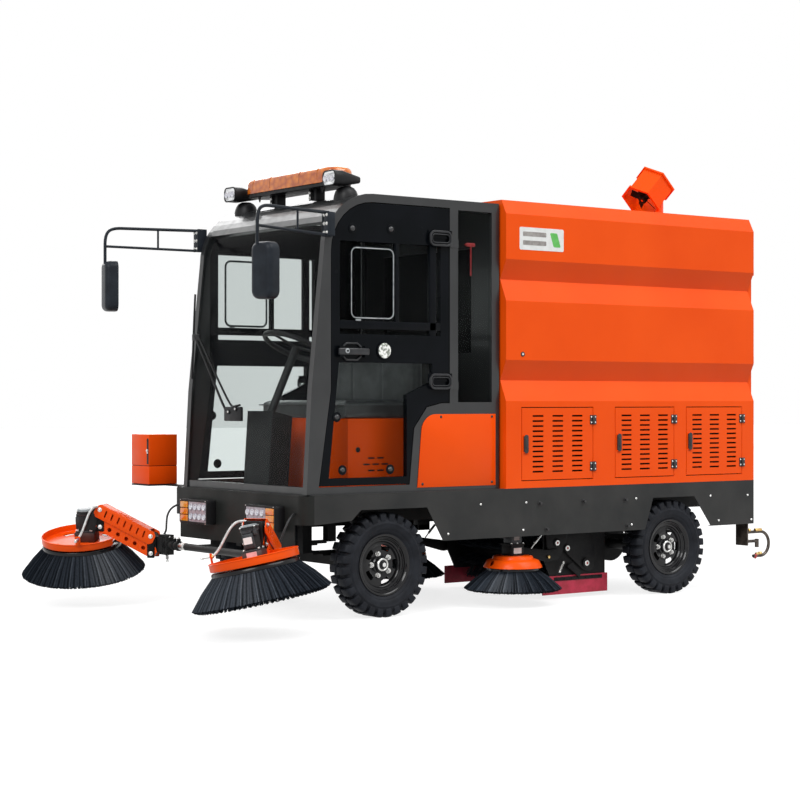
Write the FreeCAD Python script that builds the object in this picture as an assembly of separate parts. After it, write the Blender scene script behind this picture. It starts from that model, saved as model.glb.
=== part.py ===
import FreeCAD, Part
import math
import os

from FreeCAD import Rotation, Vector

# Compact battery street sweeper with an enclosed cab, in millimetres.
# +X points ahead, +Y to the vehicle's left and +Z up. The ground is at Z = 0.

# Layout of the whole machine
FRONT_AXLE_X = 854.0
WHEELBASE = 2143.0
REAR_AXLE_X = FRONT_AXLE_X - WHEELBASE
HALF_WIDTH = 692.0
FRONT_OVERHANG = 550.0
REAR_OVERHANG = 694.0
FRONT_FACE_X = FRONT_AXLE_X + FRONT_OVERHANG
REAR_FACE_X = REAR_AXLE_X - REAR_OVERHANG
DECK_TOP = 676.0
DECK_SHEET = 8.0
STRIP_BOTTOM = 607.0
STRIP_STEP = 592.0
STRIP_FRONT_X = FRONT_FACE_X - STRIP_STEP
SKIRT_BOTTOM = 402.0
MOVING_GAP = 5.0
SEAT_GAP = 0.3
PIN_PLAY = 0.05
OVERRUN = 10.0

# Chassis
RAIL_Y = 320.0
RAIL_WIDTH = 60.0
RAIL_DEPTH = 110.0
RAIL_SETBACK = 34.0
RAIL_FRONT_X = FRONT_FACE_X - RAIL_SETBACK
STRIP_WIDTH = 60.0
JOIST_WIDTH = 60.0
JOIST_PLACE_SHARES = (0.01, 0.185, 0.395, 0.6, 0.795, 0.99)

# Wheels
TYRE_RADIUS = 285.0
TYRE_WIDTH = 140.0
TYRE_ROOT_RADIUS = 267.0
TYRE_BULGE_RADIUS = 226.0
TYRE_BEAD_WIDTH = 96.0
TYRE_LUGS = 28
LUG_SHARE = 0.66
WHEEL_INSET = 96.0
WHEEL_Y = HALF_WIDTH - WHEEL_INSET
RIM_SEAT_RADIUS = 152.5
RIM_SHEET = 5.0
RIM_FLANGE_HEIGHT = 15.0
RIM_DISC_OFFSET = 6.0
DISC_THICKNESS = 7.0
DISC_SLOTS = 5
DISC_SLOT_RADIUS = 17.0
DISC_SLOT_PITCH_RADIUS = 108.0
DISC_SLOT_SPREAD = 24.0
HUB_RADIUS = 42.0
HUB_INNER_OFFSET = -34.0
HUB_OUTER_OFFSET = 34.0
HUB_CAP_RADIUS = 27.0
HUB_CAP_LENGTH = 14.0
STUD_COUNT = 5
STUD_CIRCLE_RADIUS = 62.0
STUD_RADIUS = 9.0
STUD_LENGTH = 18.0
SPINDLE_RADIUS = 20.0
SPINDLE_END_OFFSET = 22.0

# Axles and knuckles
BEAM_SIZE = 60.0
KINGPIN_OFFSET = 76.0
KINGPIN_Y = WHEEL_Y - KINGPIN_OFFSET
FORK_REACH = 32.0
BEAM_END_Y = KINGPIN_Y - FORK_REACH
KINGPIN_RADIUS = 13.0
FORK_HALF_WIDTH = 26.0
FORK_SHEET = 20.0
KNUCKLE_HALF_HEIGHT = 44.0
KNUCKLE_HALF_WIDTH = 24.0
DRUM_RADIUS = 105.0
DRUM_INNER_OFFSET = -50.0
DRUM_OUTER_OFFSET = -37.0
SPRING_HALF_LENGTH = 330.0
SPRING_WIDTH = 50.0
SPRING_LEAF = 9.0
SPRING_LEAVES = 4
AXLE_TUBE_RADIUS = 42.0
GEARCASE_RADIUS = 120.0
GEARCASE_LENGTH = 260.0

# Skirts and front panel
SKIRT_SHEET = 4.0
SKIRT_LIP = 24.0
CORNER_RADIUS = 64.0
FRONT_PANEL_BOTTOM = 390.0
APRON_INSET = 92.0
FRONT_PANEL_HALF = HALF_WIDTH - APRON_INSET
CORNER_BOTTOM = 520.0
PANEL_TOP = 672.0
ARCH_TOP = 590.0
FRONT_ARCH_LEAD = 247.0
FRONT_ARCH_TOP_LEAD = 186.0
FRONT_ARCH_TOP_TRAIL = 257.0
FRONT_ARCH_TRAIL = 369.0
FRONT_ARCH_LEAD_Z = 535.0
REAR_ARCH_LEAD = 244.0
REAR_ARCH_TOP_LEAD = 178.0
REAR_ARCH_TOP_TRAIL = 168.0
REAR_ARCH_TRAIL = 315.0

# Cab
CAB_INSET = 47.0
CAB_Y = HALF_WIDTH - CAB_INSET
CAB_FRAME_DEPTH = 40.0
CAB_TUBE = 45.0
CAB_REAR_X = 50.0
CAB_TOP = 2290.0
BROW_RADIUS = 318.0
BROW_X = 930.0
PILLAR_FOOT_X = 1358.0
PILLAR_KNEE_X = 1326.0
PILLAR_KNEE_Z = 1232.0
PILLAR_FOOT_WIDTH = 77.0
PILLAR_KNEE_WIDTH = 123.0
SILL_TOP = 715.0
B_PILLAR_FRONT_X = 403.0
B_PILLAR_REAR_X = 345.0
REAR_PILLAR_X = 103.0
REAR_WINDOW_BOTTOM = 1166.0
REAR_WINDOW_TOP = 2236.0
DOOR_TOP = 2245.0
DOOR_SILL_REAR_X = 682.0
DOOR_KNEE_LOW_X = 650.0
DOOR_KNEE_LOW_Z = 1024.0
DOOR_KNEE_HIGH_X = 562.0
DOOR_KNEE_HIGH_Z = 1138.0
DOOR_STEP_X = 462.0
DOOR_STEP_Z = 1160.0
CAB_WALL = 30.0
CAB_ROOF_SHEET = 25.0
GLASS = 6.0
SCREEN_INSET = 10.0
BROW_SHARE = 1 / 3
SCREEN_END_SHARE = 0.32
BACK_WINDOW_INSET = 215.0
BACK_WINDOW_HALF = CAB_Y - BACK_WINDOW_INSET
BACK_WINDOW_BOTTOM = 1450.0
BACK_WINDOW_TOP = 2050.0
SIDE_PANEL_FRONT_X = 631.0
SIDE_PANEL_KNEE_X = 603.0
SIDE_PANEL_KNEE_Z = 1030.0
SIDE_PANEL_TOP_X = 516.0
SIDE_PANEL_TOP = 1100.0
SIDE_PANEL_REAR_X = 78.0
SIDE_PANEL_BOTTOM = 697.0
SIDE_PANEL_SHEET = 4.0

# Cab doors
DOOR_THICKNESS = 32.0
DOOR_FACE_INSET = 2.0
UPPER_LIGHT_FRONT_X = 1144.0
UPPER_LIGHT_REAR_X = 465.0
UPPER_LIGHT_BOTTOM = 1532.0
UPPER_LIGHT_TOP = 2029.0
LOWER_LIGHT_TOP = 1379.0
LOWER_LIGHT_TOP_FRONT_X = 1150.0
LOWER_LIGHT_FOOT_FRONT_X = 1215.0
LOWER_LIGHT_FOOT = 761.0
LOWER_LIGHT_REAR_X = 524.0
LOWER_LIGHT_STEP_Z = 1278.0
LOWER_LIGHT_KNEE_X = 700.0
LOWER_LIGHT_KNEE_Z = 1205.0
HANDLE_REAR_X = 975.0
HANDLE_FRONT_X = 1160.0
HANDLE_Z = 1437.0
HANDLE_HEIGHT = 60.0
HANDLE_STANDOFF = 26.0
HANDLE_BAR = 12.0
REFLECTOR_X = 854.0
REFLECTOR_Z = 1445.0
REFLECTOR_RADIUS = 46.0
REFLECTOR_THICKNESS = 8.0
CAB_HINGE_X = 405.5
CAB_HINGE_LEAF = 60.0
CAB_HINGE_REACH = 150.0
CAB_HINGE_HEIGHT = 90.0
CAB_HINGE_HEIGHTS_Z = (2071.0, 1280.0)
HINGE_BARREL_RADIUS = 9.0
HINGE_PIN_RADIUS = 5.0
HINGE_SHEET = 5.0

# Inside the cab
SEAT_BOX_FRONT_X = 972.0
SEAT_BOX_REAR_X = 420.0
SEAT_BOX_HALF = 470.0
SEAT_BOX_TOP = 1076.0
SEAT_BOX_SHEET = 4.0
CUSHION_THICKNESS = 100.0
CUSHION_HALF = 440.0
BACKREST_THICKNESS = 90.0
BACKREST_TOP = 1500.0
CONSOLE_FRONT_X = 1270.0
CONSOLE_REAR_X = 1140.0
CONSOLE_HALF = 130.0
CONSOLE_TOP = 1117.0
COLUMN_RADIUS = 22.0
WHEEL_CENTRE_X = 998.0
WHEEL_CENTRE_Z = 1475.0
WHEEL_RADIUS = 190.0
WHEEL_GRIP_RADIUS = 14.0
WHEEL_TILT = 25.0

# Body
BODY_FRONT_X = 36.0
BODY_INSET = 0.5
BODY_HALF = HALF_WIDTH - BODY_INSET
BODY_WALL = 30.0
BODY_TOP = 2314.0
CHAMFER_START = 2234.0
CHAMFER_INSET = 41.0
GROOVE_DEPTH = 53.0
LOW_GROOVE_BOTTOM = 1172.0
LOW_GROOVE_DEEPEST = 1290.0
LOW_GROOVE_TOP = 1405.0
HIGH_GROOVE_BOTTOM = 1741.0
HIGH_GROOVE_DEEPEST = 1863.0
HIGH_GROOVE_TOP = 1976.0
REAR_OPENING_INSET = 131.5
REAR_OPENING_HALF = BODY_HALF - REAR_OPENING_INSET
REAR_OPENING_BOTTOM = 760.0
REAR_OPENING_TOP = 2150.0

# Vent doors in the lower body sides
VENT_BOTTOM = 721.0
VENT_TOP = 1133.0
VENT_SPAN_SHARES = ((0.0584, 0.3259), (0.416, 0.6533), (0.7078, 0.946))
VENT_THICKNESS = 18.0
VENT_SKIN = 3.0
SLOT_ROWS = 12
SLOT_COLUMNS = 3
SLOT_LENGTH = 82.0
SLOT_HEIGHT = 10.0
SLOT_ROW_PITCH = 29.0
SLOT_COLUMN_PITCH = 150.0
VENT_HINGE_WIDTH = 22.0
VENT_HINGE_HEIGHT = 50.0
VENT_HINGE_INSET = 70.0
VENT_HANDLE_WIDTH = 30.0
VENT_HANDLE_HEIGHT = 103.0
VENT_HANDLE_DEPTH = 8.0
VENT_HANDLE_INSET = 26.0

# Rear doors
REAR_DOOR_INSET = 51.5
REAR_DOOR_HALF = BODY_HALF - REAR_DOOR_INSET
REAR_DOOR_BOTTOM = 716.0
REAR_DOOR_TOP = 2190.0
REAR_DOOR_THICKNESS = 28.0
REAR_HINGE_HEIGHTS_Z = (900.0, 1450.0, 2000.0)
REAR_HINGE_HEIGHT = 80.0
REAR_HINGE_LEAF = 36.0
LATCH_BAR_RADIUS = 10.0
LATCH_BAR_STANDOFF = 22.0
LATCH_BAR_INSET = 80.0

# Battery
BATTERY_SETBACK = 96.0
BATTERY_LENGTH = 640.0
BATTERY_FRONT_X = BODY_FRONT_X - BATTERY_SETBACK
BATTERY_REAR_X = BATTERY_FRONT_X - BATTERY_LENGTH
BATTERY_HALF = 480.0
BATTERY_TOP = 1090.0

# Mirrors
MIRROR_X = 1738.0
MIRROR_OUTSET = 188.0
MIRROR_Y = CAB_Y + MIRROR_OUTSET
MIRROR_Z = 1834.0
MIRROR_WIDTH = 140.0
MIRROR_DEPTH = 76.0
MIRROR_HEIGHT = 290.0
MIRROR_TOE = 15.0
MIRROR_POST_X = 1774.0
MIRROR_POST_OUTSET = 176.0
MIRROR_POST_Y = CAB_Y + MIRROR_POST_OUTSET
MIRROR_ARM_TOP_Z = 2168.0
MIRROR_ARM_LOW_Z = 2062.0
MIRROR_BASE_LOW_Z = 2050.0
MIRROR_BASE_FRONT_X = 1262.0
MIRROR_BASE_REAR_X = 1200.0
MIRROR_BASE_DEPTH = 45.0
MIRROR_TUBE_RADIUS = 9.0
MIRROR_BEND_RADIUS = 60.0
MIRROR_CORNER = 34.0
MIRROR_BACK_SHARE = 0.72
MIRROR_FOOT_SHARE = 0.38
MIRROR_CORNER_STEPS = 3
MIRROR_LOW_TUBE_RADIUS = 7.5
MIRROR_STRUT_RADIUS = 6.0
MIRROR_STRUT_SHARE = 0.45

# Lamps
HEADLAMP_INNER_Y = 200.0
HEADLAMP_INSET = 187.0
HEADLAMP_OUTER_Y = HALF_WIDTH - HEADLAMP_INSET
HEADLAMP_BOTTOM = 478.0
HEADLAMP_TOP = 616.0
HEADLAMP_DEPTH = 60.0
HEADLAMP_LENS_INSET = 6.0
HEADLAMP_RIM = 12.0
WORK_LAMP_X = 1061.0
WORK_LAMP_INSET = 133.0
WORK_LAMP_Y = CAB_Y - WORK_LAMP_INSET
WORK_LAMP_Z = 2374.0
WORK_LAMP_LENGTH = 190.0
WORK_LAMP_WIDTH = 120.0
WORK_LAMP_HEIGHT = 84.0
WORK_LAMP_TAIL_SHARE = 0.35
WORK_LAMP_CORNER = 28.0
WORK_LAMP_CORNER_STEPS = 2
WORK_LAMP_RIM = 6.0
WORK_LAMP_FOOT_RADIUS = 62.0
BAR_INSET = 195.0
BAR_HALF_LENGTH = CAB_Y - BAR_INSET
BAR_X = 985.0
BAR_DEPTH = 190.0
BAR_BOTTOM = 2345.0
BAR_HEIGHT = 110.0
BAR_TRAY = 22.0
BAR_TAPER = 50.0
BAR_END_CORNER = 62.0
BAR_CORNER_STEPS = 4
BAR_FOOT_Y = 200.0
BAR_FOOT_SIZE = 50.0

# Utility box
BOX_FRONT_X = 1454.0
BOX_REAR_X = 1265.0
BOX_OUTSET = 190.0
BOX_WIDTH = 214.0
BOX_INNER_Y = HALF_WIDTH + BOX_OUTSET
BOX_OUTER_Y = BOX_INNER_Y + BOX_WIDTH
BOX_BOTTOM = 679.0
BOX_TOP = 975.0
BOX_SEAM_Z = 790.0
BOX_SEAM_DEPTH = 2.0
BOX_SEAM_HEIGHT = 5.0
BOX_SLOT_WIDTH = 24.0
BOX_SLOT_INSET = 14.0
BOX_SLOT_DROP = 35.0
BOX_SHELF = 8.0
BOX_GUSSET_DROP = 70.0

# Exhaust cowl
COWL_SETBACK = 537.0
COWL_X = REAR_FACE_X + COWL_SETBACK
COWL_Y = 300.0
COWL_STANDOFF = 166.0
COWL_Z = BODY_TOP + COWL_STANDOFF
COWL_RADIUS = 125.0
COWL_LENGTH = 190.0
COWL_WALL = 4.0
COWL_RISE = 45.0
COWL_FLANGE = 12.0
COWL_BASE_RADIUS = 95.0
FAN_BLADES = 5
FAN_RADIUS = 92.0
FAN_HUB_RADIUS = 26.0
FAN_HUB_LENGTH = 50.0
FAN_BLADE_LENGTH = 40.0
FAN_BLADE_SHEET = 4.0
FAN_BLADE_PITCH = 35.0
FAN_SHAFT_RADIUS = 8.0

# Front side brushes and their arms
PIVOT_LEAD = 118.0
PIVOT_INSET = 123.0
PIVOT_X = FRONT_FACE_X + PIVOT_LEAD
PIVOT_Y = HALF_WIDTH - PIVOT_INSET
ARM_Z = 352.0
ARM_PLAN_ANGLE = 44.0
INNER_PIN_REACH = 70.0
LINK_RUN = 298.0
LINK_RISE = 149.0
LINK_SPACING = 98.0
LINK_WIDTH = 120.0
LOW_LINK_WIDTH = 100.0
LINK_SHEET = 4.0
LINK_UP = 30.0
LINK_DOWN = 48.0
LOW_LINK_UP = 42.0
LINK_FLOOR_GAP = 3.0
LINK_END = 26.0
LINK_CHAMFER = 18.0
LINK_PIN_RADIUS = 8.0
TONGUE_RADIUS = 18.0
LINK_PLAY = 2.0
NECK_THICKNESS = 44.0
UPPER_SLOTS = 7
UPPER_SLOT_LENGTH = 42.0
UPPER_SLOT_WIDTH = 9.0
UPPER_SLOT_LEAN = 45.0
LOWER_HOLES = 5
LOWER_HOLE_RADIUS = 12.0
LOWER_HOLE_RISE = 8.0
PIVOT_PIN_RADIUS = 14.0
PIVOT_BARREL_RADIUS = 26.0
PIVOT_BARREL_HEIGHT = 90.0
FORK_PLATE = 12.0
CROSS_TUBE_RADIUS = 20.0
BRUSH_REACH = 502.0
BRUSH_SIDE_STEP = 30.0
BRUSH_Z = 364.0
BRUSH_TILT = 12.0
DISH_RADIUS = 226.0
DISH_RIM_HEIGHT = 40.0
DISH_SHEET = 4.0
DISC_RADIUS = 221.0
DISC_DEPTH = 30.0
BRISTLE_TIP_RADIUS = 355.0
NOTCH_DEPTH = 36.0
BRISTLE_LENGTH = 166.0
BRISTLE_WALL = 46.0
DRIVE_RADIUS = 16.0
GEARBOX_LENGTH = 115.0
GEARBOX_LEAD = 24.0
GEARBOX_WIDTH = 100.0
GEARBOX_HEIGHT = 58.0
MOTOR_OFFSET = 30.0
MOTOR_RADIUS = 43.0
MOTOR_HEIGHT = 124.0
MOTOR_CAP_RADIUS = 48.0
MOTOR_CAP_HEIGHT = 16.0

# Brushes under the middle
MID_BRUSH_LEAD = 1158.0
MID_BRUSH_INSET = 142.0
MID_BRUSH_X = REAR_AXLE_X + MID_BRUSH_LEAD
MID_BRUSH_Y = HALF_WIDTH - MID_BRUSH_INSET
MID_TIP_Z = 81.0
MID_TIP_RADIUS = 283.0
MID_TOP_Z = 215.0
MID_DISH_RADIUS = 170.0
MID_DISH_HEIGHT = 59.0
MID_PLATE_RADIUS = 150.0
MID_MOTOR_SIZE = 90.0
MID_MOTOR_TOP = 380.0
MID_ARM_TOP = 420.0

# Roller brush and its chamber
ROLLER_LEAD = 599.0
ROLLER_X = REAR_AXLE_X + ROLLER_LEAD
ROLLER_Z = 228.0
ROLLER_RADIUS = 200.0
ROLLER_CORE_RADIUS = 80.0
ROLLER_ROWS = 10
ROLLER_ROW_THICKNESS = 26.0
ROLLER_SHAFT_RADIUS = 20.0
ROLLER_SHAFT_LENGTH = 60.0
ROLLER_END_GAP = 15.0
CHAMBER_LEAD = 363.0
CHAMBER_LENGTH = 486.0
CHAMBER_REAR_X = REAR_AXLE_X + CHAMBER_LEAD
CHAMBER_FRONT_X = CHAMBER_REAR_X + CHAMBER_LENGTH
CHAMBER_INSET = 237.0
CHAMBER_Y = HALF_WIDTH - CHAMBER_INSET
CHAMBER_SHEET = 10.0
CHAMBER_BOTTOM = 120.0
CHAMBER_NOSE_LENGTH = 60.0
CHAMBER_NOSE_HEIGHT = 120.0
ROLLER_HALF = CHAMBER_Y - ROLLER_END_GAP
FLAP_SHEET = 8.0
FLAP_BOTTOM = 25.0
FLAP_TOP = 135.0
FLAP_OVERLAP = 14.0

# Rear water pipes
PIPE_INSET = 92.0
PIPE_Y = HALF_WIDTH - PIPE_INSET
PIPE_RADIUS = 10.0
PIPE_HIGH_Z = 340.0
PIPE_LOW_Z = 187.0
PIPE_MIDDLE_Z = 282.0
PIPE_BEND_REACH = 236.0
PIPE_RETURN_REACH = 93.0
PIPE_ROOT_INSET = 23.0
PIPE_NOZZLE_REACH = 127.0
PIPE_BEND_X = REAR_FACE_X - PIPE_BEND_REACH
PIPE_RETURN_X = REAR_FACE_X - PIPE_RETURN_REACH
PIPE_ROOT_X = REAR_FACE_X + PIPE_ROOT_INSET
PIPE_NOZZLE_X = REAR_FACE_X - PIPE_NOZZLE_REACH
PIPE_NOZZLE_DROP = 40.0
PIPE_NOZZLE_RADIUS = 13.0
PIPE_PLATE_DROP = 20.0

SIDES = {"left": 1.0, "right": -1.0}

# Sizes that follow from those above
BODY_LENGTH = BODY_FRONT_X - REAR_FACE_X
VENT_SPANS_X = [tuple(BODY_FRONT_X - share * BODY_LENGTH for share in span) for span in VENT_SPAN_SHARES]
CHAMBER_TOP = STRIP_BOTTOM - RAIL_DEPTH
TONGUE_THICKNESS = LOW_LINK_WIDTH - 2 * LINK_SHEET - 2 * LINK_PLAY
LOW_LINK_DOWN = TONGUE_RADIUS + LINK_SHEET + LINK_FLOOR_GAP
HIGH_BOSS_WIDTH = LINK_WIDTH - 2 * LINK_SHEET - 2 * LINK_PLAY
ARM_COS = math.cos(math.radians(ARM_PLAN_ANGLE))
ARM_SIN = math.sin(math.radians(ARM_PLAN_ANGLE))
BRUSH_X = PIVOT_X + BRUSH_REACH * ARM_COS - BRUSH_SIDE_STEP * ARM_SIN
BRUSH_Y = PIVOT_Y + BRUSH_REACH * ARM_SIN + BRUSH_SIDE_STEP * ARM_COS


def box(x0, x1, y0, y1, z0, z1):
    """A box from its opposite faces, given in either order."""
    low = Vector(min(x0, x1), min(y0, y1), min(z0, z1))
    return Part.makeBox(abs(x1 - x0), abs(y1 - y0), abs(z1 - z0), low)


def wire(points):
    return Part.makePolygon([Vector(*p) for p in points + points[:1]])


def prism_y(outline, y0, y1):
    """An outline of (x, z) points, extruded from y0 to y1."""
    face = Part.Face(wire([(x, y0, z) for x, z in outline]))
    return face.extrude(Vector(0, y1 - y0, 0))


def prism_x(outline, x0, x1):
    """An outline of (y, z) points, extruded from x0 to x1."""
    face = Part.Face(wire([(x0, y, z) for y, z in outline]))
    return face.extrude(Vector(x1 - x0, 0, 0))


def prism_z(outline, z0, z1):
    """An outline of (x, y) points, extruded from z0 to z1."""
    face = Part.Face(wire([(x, y, z0) for x, y in outline]))
    return face.extrude(Vector(0, 0, z1 - z0))


def rod(start, end, radius):
    """A round bar between two points."""
    a = Vector(*start)
    b = Vector(*end)
    return Part.makeCylinder(radius, (b - a).Length, a, b - a)


def turned_z(profile, x, y, z):
    """A profile of (radius, height) points turned about the upright line through x and y."""
    face = Part.Face(wire([(x + r, y, z + h) for r, h in profile]))
    return face.revolve(Vector(x, y, z), Vector(0, 0, 1), 360)


def turned_y(profile, x, z, y, side):
    """A profile of (outward offset, radius) points turned about a wheel's axle."""
    face = Part.Face(wire([(x, y + side * o, z + r) for o, r in profile]))
    return face.revolve(Vector(x, y, z), Vector(0, 1, 0), 360)


def fuse(shapes):
    whole = shapes[0].multiFuse(shapes[1:]) if len(shapes) > 1 else shapes[0]
    return whole.removeSplitter()


def cut(shape, tools):
    return shape.cut(Part.Compound(list(tools)))


def mirrored(shape):
    return shape.mirror(Vector(0, 0, 0), Vector(0, 1, 0))


def both(shape):
    return Part.Compound([shape, mirrored(shape)])


def sided(shape, side):
    """The left-hand shape itself, or its mirror image on the right."""
    return shape if side > 0 else mirrored(shape)


def turned_about(shape, point, axis, angle):
    return shape.rotated(Vector(*point), Vector(*axis), angle)


def ring_points(centre, radius, count):
    """Points evenly spaced on a circle in the XZ plane."""
    steps = [2 * math.pi * i / count for i in range(count)]
    return [(centre[0] + radius * math.sin(a), centre[1] + radius * math.cos(a)) for a in steps]


def hinge(x, y, z, height, radius, pin_radius):
    """An upright hinge: the fixed barrel below and the moving barrel with its pin above."""
    middle = z
    fixed = rod((x, y, middle - height / 2), (x, y, middle - SEAT_GAP), radius)
    moving = rod((x, y, middle), (x, y, middle + height / 2), radius)
    pin = rod((x, y, middle - height / 2), (x, y, middle + pin_radius), pin_radius)
    bore = rod((x, y, middle - height), (x, y, middle), pin_radius + PIN_PLAY)
    return fixed.cut(bore), fuse([moving, pin])


# Frame and running gear


def chassis_frame():
    strip = box(REAR_FACE_X, STRIP_FRONT_X, HALF_WIDTH - STRIP_WIDTH, HALF_WIDTH, STRIP_BOTTOM, DECK_TOP)
    inner_strip = box(
        STRIP_FRONT_X,
        FRONT_FACE_X - CORNER_RADIUS,
        HALF_WIDTH - STRIP_WIDTH,
        HALF_WIDTH - SKIRT_SHEET,
        STRIP_BOTTOM,
        DECK_TOP,
    )
    rail = box(
        REAR_FACE_X + STRIP_WIDTH,
        RAIL_FRONT_X,
        RAIL_Y - RAIL_WIDTH / 2,
        RAIL_Y + RAIL_WIDTH / 2,
        STRIP_BOTTOM - RAIL_DEPTH,
        STRIP_BOTTOM,
    )
    pieces = [strip, inner_strip, rail]
    pieces += [mirrored(piece) for piece in pieces]
    deck_half = HALF_WIDTH - STRIP_WIDTH
    pieces.append(box(REAR_FACE_X, FRONT_FACE_X - SKIRT_SHEET, -deck_half, deck_half, DECK_TOP - DECK_SHEET, DECK_TOP))
    half = JOIST_WIDTH / 2
    deck_length = FRONT_FACE_X - SKIRT_SHEET - REAR_FACE_X
    for share in JOIST_PLACE_SHARES:
        x = FRONT_FACE_X - SKIRT_SHEET - half - share * (deck_length - 2 * half)
        pieces.append(box(x - half, x + half, -deck_half, deck_half, STRIP_BOTTOM, DECK_TOP - DECK_SHEET))
    pieces += brush_beam()
    return fuse(pieces)


def brush_beam():
    """The cross tube that carries the front brush arms, and its hangers from the rails."""
    tube = rod((PIVOT_X, -fork_root_y(), ARM_Z), (PIVOT_X, fork_root_y(), ARM_Z), CROSS_TUBE_RADIUS)
    drop = box(
        RAIL_FRONT_X - RAIL_WIDTH,
        RAIL_FRONT_X,
        RAIL_Y - FORK_PLATE,
        RAIL_Y,
        ARM_Z - CROSS_TUBE_RADIUS / 2,
        STRIP_BOTTOM,
    )
    reach = box(
        RAIL_FRONT_X - RAIL_WIDTH,
        PIVOT_X,
        RAIL_Y - FORK_PLATE,
        RAIL_Y,
        ARM_Z - CROSS_TUBE_RADIUS / 2,
        ARM_Z + CROSS_TUBE_RADIUS / 2,
    )
    fork = fixed_fork()
    return [tube, drop, reach, mirrored(drop), mirrored(reach), fork, mirrored(fork)]


def fork_root_y():
    return PIVOT_Y - PIVOT_BARREL_RADIUS - FORK_PLATE - MOVING_GAP


def fixed_fork():
    """Two ears with the upright pin that the brush arm swings on."""
    ears = []
    half = PIVOT_BARREL_HEIGHT / 2 + SEAT_GAP
    for sign in (1.0, -1.0):
        near = ARM_Z + sign * half
        far = near + sign * FORK_PLATE
        ear = box(
            PIVOT_X - PIVOT_BARREL_RADIUS,
            PIVOT_X + PIVOT_BARREL_RADIUS,
            fork_root_y(),
            PIVOT_Y + PIVOT_PIN_RADIUS + FORK_PLATE,
            near,
            far,
        )
        ears.append(ear)
    back = box(
        PIVOT_X - PIVOT_BARREL_RADIUS,
        PIVOT_X + PIVOT_BARREL_RADIUS,
        fork_root_y() - FORK_PLATE,
        fork_root_y(),
        ARM_Z - half - FORK_PLATE,
        ARM_Z + half + FORK_PLATE,
    )
    pin = rod(
        (PIVOT_X, PIVOT_Y, ARM_Z - half - FORK_PLATE),
        (PIVOT_X, PIVOT_Y, ARM_Z + half + FORK_PLATE),
        PIVOT_PIN_RADIUS,
    )
    return fuse(ears + [back, pin])


def axles():
    return fuse(front_axle() + rear_axle())


def leaf_spring(x):
    """A stack of leaves under the rail, its eyes carried by two hangers."""
    rail_bottom = STRIP_BOTTOM - RAIL_DEPTH
    seat_z = TYRE_RADIUS + BEAM_SIZE / 2
    pieces = []
    for i in range(SPRING_LEAVES):
        half = SPRING_HALF_LENGTH * (1 - i / (SPRING_LEAVES + 1))
        top = seat_z + (SPRING_LEAVES - i) * SPRING_LEAF
        pieces.append(
            box(x - half, x + half, RAIL_Y - SPRING_WIDTH / 2, RAIL_Y + SPRING_WIDTH / 2, top - SPRING_LEAF, top)
        )
    top = seat_z + SPRING_LEAVES * SPRING_LEAF
    for end in (-1.0, 1.0):
        outer = x + end * SPRING_HALF_LENGTH
        pieces.append(
            box(outer - end * BEAM_SIZE, outer, RAIL_Y - SPRING_WIDTH / 2, RAIL_Y + SPRING_WIDTH / 2, top, rail_bottom)
        )
    return pieces


def front_axle():
    beam = box(
        FRONT_AXLE_X - BEAM_SIZE / 2,
        FRONT_AXLE_X + BEAM_SIZE / 2,
        -BEAM_END_Y,
        BEAM_END_Y,
        TYRE_RADIUS - BEAM_SIZE / 2,
        TYRE_RADIUS + BEAM_SIZE / 2,
    )
    fork = kingpin_fork()
    springs = leaf_spring(FRONT_AXLE_X)
    return [beam, fork, mirrored(fork)] + springs + [mirrored(s) for s in springs]


def kingpin_fork():
    """The axle end: a post with two lugs that hold the upright kingpin."""
    inner = KNUCKLE_HALF_HEIGHT + SEAT_GAP
    outer = inner + FORK_SHEET
    post = box(
        FRONT_AXLE_X - FORK_HALF_WIDTH,
        FRONT_AXLE_X + FORK_HALF_WIDTH,
        BEAM_END_Y - FORK_SHEET,
        BEAM_END_Y,
        TYRE_RADIUS - outer,
        TYRE_RADIUS + outer,
    )
    pieces = [post]
    for sign in (1.0, -1.0):
        pieces.append(
            box(
                FRONT_AXLE_X - FORK_HALF_WIDTH,
                FRONT_AXLE_X + FORK_HALF_WIDTH,
                BEAM_END_Y,
                KINGPIN_Y,
                TYRE_RADIUS + sign * inner,
                TYRE_RADIUS + sign * outer,
            )
        )
        pieces.append(
            rod(
                (FRONT_AXLE_X, KINGPIN_Y, TYRE_RADIUS + sign * inner),
                (FRONT_AXLE_X, KINGPIN_Y, TYRE_RADIUS + sign * outer),
                FORK_HALF_WIDTH,
            )
        )
    pieces.append(
        rod(
            (FRONT_AXLE_X, KINGPIN_Y, TYRE_RADIUS - outer),
            (FRONT_AXLE_X, KINGPIN_Y, TYRE_RADIUS + outer),
            KINGPIN_RADIUS,
        )
    )
    return fuse(pieces)


def rear_axle():
    end = WHEEL_Y + DRUM_INNER_OFFSET
    tube = rod((REAR_AXLE_X, -end, TYRE_RADIUS), (REAR_AXLE_X, end, TYRE_RADIUS), AXLE_TUBE_RADIUS)
    case = rod(
        (REAR_AXLE_X, -GEARCASE_LENGTH / 2, TYRE_RADIUS),
        (REAR_AXLE_X, GEARCASE_LENGTH / 2, TYRE_RADIUS),
        GEARCASE_RADIUS,
    )
    ends = [drum_and_spindle(REAR_AXLE_X)]
    springs = leaf_spring(REAR_AXLE_X)
    left = ends + springs
    return [tube, case] + left + [mirrored(piece) for piece in left]


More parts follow.
